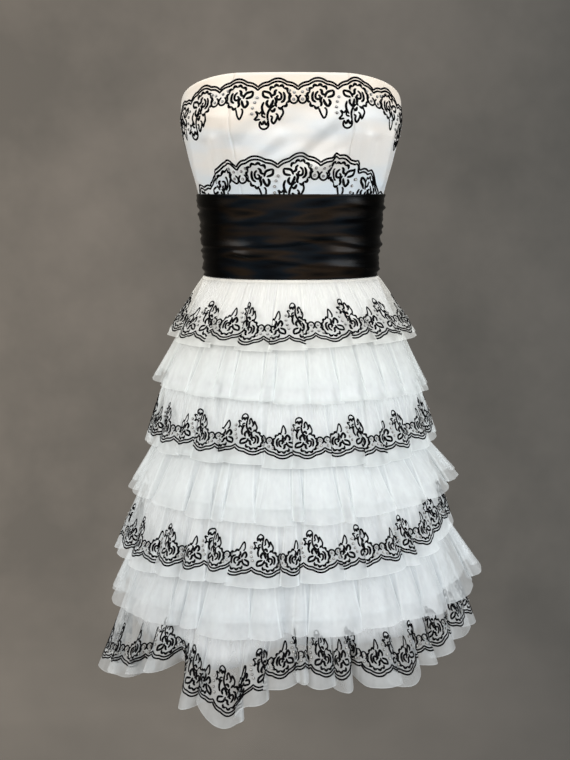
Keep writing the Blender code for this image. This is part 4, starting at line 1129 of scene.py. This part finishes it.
def addZip():
    # A tooth is a low loop: a profile of five points across, carried over four rims along the zip. Teeth lie
    # left and right by turns on a flat tape.
    heights = np.arange(zipSettings["end"], zipSettings["top"], zipSettings["pitch"] / 2)
    sideSign = np.where(np.arange(len(heights)) % 2 == 0, 1.0, -1.0)[:, None, None]
    across = (zipSettings["across"] * zipSettings["toothReach"])[None, None, :]
    out = (zipSettings["out"] * zipSettings["toothHeight"])[None, None, :]
    rims = (zipSettings["rims"] * zipSettings["pitch"])[None, :, None]
    x = sideSign * (across - 0.35 * mm) + 0.0 * rims
    y = zipFace(heights)[:, None, None] + 0.15 * mm + out * zipSettings["swell"][None, :, None]
    z = heights[:, None, None] + rims + 0.0 * across
    teeth = np.stack([x, y, z], axis=-1)
    count, rimCount, profileCount = x.shape
    faces = gridFaces(rimCount, profileCount) + rimCount * profileCount * np.arange(count)[:, None, None]
    faces = np.where(sideSign > 0.0, faces[:, :, ::-1], faces)
    rows, columns, halfTape = zipSettings["tapeRows"], zipSettings["tapeColumns"], zipSettings["halfTape"]
    tapeHeights = np.linspace(zipSettings["end"], zipSettings["top"], rows)
    tapeZ, tapeX = np.meshgrid(tapeHeights, np.linspace(halfTape, -halfTape, columns), indexing="ij")
    tape = np.stack([tapeX, zipFace(tapeZ), tapeZ], axis=-1)
    points = np.concatenate([teeth.reshape(-1, 3), tape.reshape(-1, 3)])
    faces = np.concatenate([faces.reshape(-1, 4), gridFaces(rows, columns) + teeth.size // 3])
    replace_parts(addPiece("zipCoil", points, faces, zipNylon), "zip_chain")
    for node in ("zip_slider", "zip_pull"):
        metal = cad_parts[node]
        metal.data.materials.clear()
        metal.data.materials.append(zipEnamel)


addZip()
print("zip made")


# Stage, light and camera.

stage = {
    "floorHeight": -1.05, "floorRadius": 3.2, "floorRings": 8, "floorSides": 96,
    "floorColour": (0.19, 0.18, 0.165),
    # reach and darker colour of the painted light falloff on the floor, and of the world's light
    "floorPaintedFalloff": (0.8, (0.27, 0.28, 0.29)), "studioFall": (0.25, (0.57, 0.59, 0.60)),
    "lightTarget": (0.0, 0.0, -0.15),
    # place, size, power and colour
    "lights": {
        "keyLight": ((-2.5, -1.8, 1.6), (1.8, 1.6), 90.0, (0.985, 0.985, 0.975)),
        "fillLight": ((2.5, -1.8, 1.0), (1.8, 1.6), 85.0, (0.955, 0.98, 1.0)),
        "topLight": ((0.0, -0.4, 2.4), (2.0, 2.0), 18.0, (1.0, 0.99, 0.97)),
        "frontLight": ((0.0, -2.8, 0.0), (2.0, 1.0), 6.0, (0.97, 0.985, 1.0)),
        "backLight": ((-0.8, 1.7, 2.5), (2.0, 2.0), 46.0, (1.0, 1.0, 1.0)),
        "rearFill": ((0.9, 1.9, 2.3), (2.0, 2.0), 34.0, (1.0, 0.99, 0.97)),
    },
    # the tilt is the horizon's height above the middle over the focal length, both in pixels
    "camera": {"place": (-0.0083, -1.6, 0.1173), "lens": 54.09, "sensorWidth": 36.0,
               "downTilt": math.atan(190 / 1142)},
}


def sideLightFalloff(tree, source, reach, dark):
    # Light that falls off from warm and full on the wearer's right to greyer and darker on the left: painted
    # light on the floor, and the world's own light behind.
    return ramp(spread(axis(placed(tree, source), "X"), -reach, reach), (0.0, (1.0, 0.95, 0.89)), (1.0, dark))


def addFloor():
    # A disc: radius times the cosine and sine of an even turn, thinning out towards its rim.
    rings, sides, radius = stage["floorRings"], stage["floorSides"], stage["floorRadius"]
    turn = np.linspace(0.0, 2.0 * np.pi, sides + 1)[:-1]
    reach = np.linspace(0.0, 1.0, rings + 1)[1:, None] * radius
    height = np.full((rings, sides, 1), stage["floorHeight"])
    points = np.concatenate([polar(turn, reach), height], axis=-1).reshape(-1, 3)
    index = np.arange(rings * sides).reshape(rings, sides)
    following = np.roll(index, -1, axis=1)
    faces = np.stack([index[:-1], following[:-1], following[1:], index[1:]], axis=-1).reshape(-1, 4)[:, ::-1]
    mesh = bpy.data.meshes.new("floor")
    mesh.from_pydata(points.tolist(), [], faces.tolist() + [index[0].tolist()])
    material, tree, shader = newMaterial("floor", stage["floorColour"], 0.9)
    place = placed(tree, "Object")
    tone = ramp(noise(place, 2.2, 4.0, 0.6), (0.35, (0.165, 0.155, 0.14)), (0.65, (0.22, 0.205, 0.185)))
    # painted light falling off across the floor from the wearer's right to the left
    paint(shader, blend(tone, sideLightFalloff(tree, "Object", *stage["floorPaintedFalloff"])))
    distance = addNode(tree, "ShaderNodeVectorMath", operation="LENGTH")
    link(place, distance.inputs[0])
    fade = spread(distance.outputs["Value"], 0.12 * radius, 0.7 * radius, 1.0, 0.0)
    link(fade, shader.inputs["Alpha"])
    mesh.materials.append(material)
    addObject("floor", mesh)


def addStudio():
    world = bpy.data.worlds.new("studio")
    world.use_nodes = True
    tree = world.node_tree
    mottle = noise(placed(tree, "Generated"), 5.0, 5.0, 0.6)
    tone = ramp(mottle, (0.35, (0.160, 0.150, 0.136)), (0.65, (0.240, 0.219, 0.196)))
    shaded = blend(tone, sideLightFalloff(tree, "Generated", *stage["studioFall"]))
    link(shaded, tree.nodes["Background"].inputs["Color"])
    bpy.context.scene.world = world


def addLight(name, place, size, power, colour):
    light = bpy.data.lights.new(name, "AREA")
    light.shape = "RECTANGLE"
    light.size, light.size_y = size
    light.energy = power
    light.color = colour
    lamp = addObject(name, light)
    lamp.location = place
    sight = Vector(stage["lightTarget"]) - Vector(place)
    lamp.rotation_euler = sight.to_track_quat("-Z", "Y").to_euler()


def addCamera():
    settings = stage["camera"]
    lens = bpy.data.cameras.new("photoCamera")
    lens.lens = settings["lens"]
    lens.sensor_width = settings["sensorWidth"]
    camera = addObject("photoCamera", lens)
    camera.location = settings["place"]
    camera.rotation_euler = (math.pi / 2 - settings["downTilt"], 0.0, 0.0)
    bpy.context.scene.camera = camera


addFloor()
addStudio()
for name, settings in stage["lights"].items():
    addLight(name, *settings)
addCamera()
bpy.context.scene.view_settings.view_transform = "Standard"
bpy.context.scene.cycles.transparent_max_bounces = 24
print("stage made")
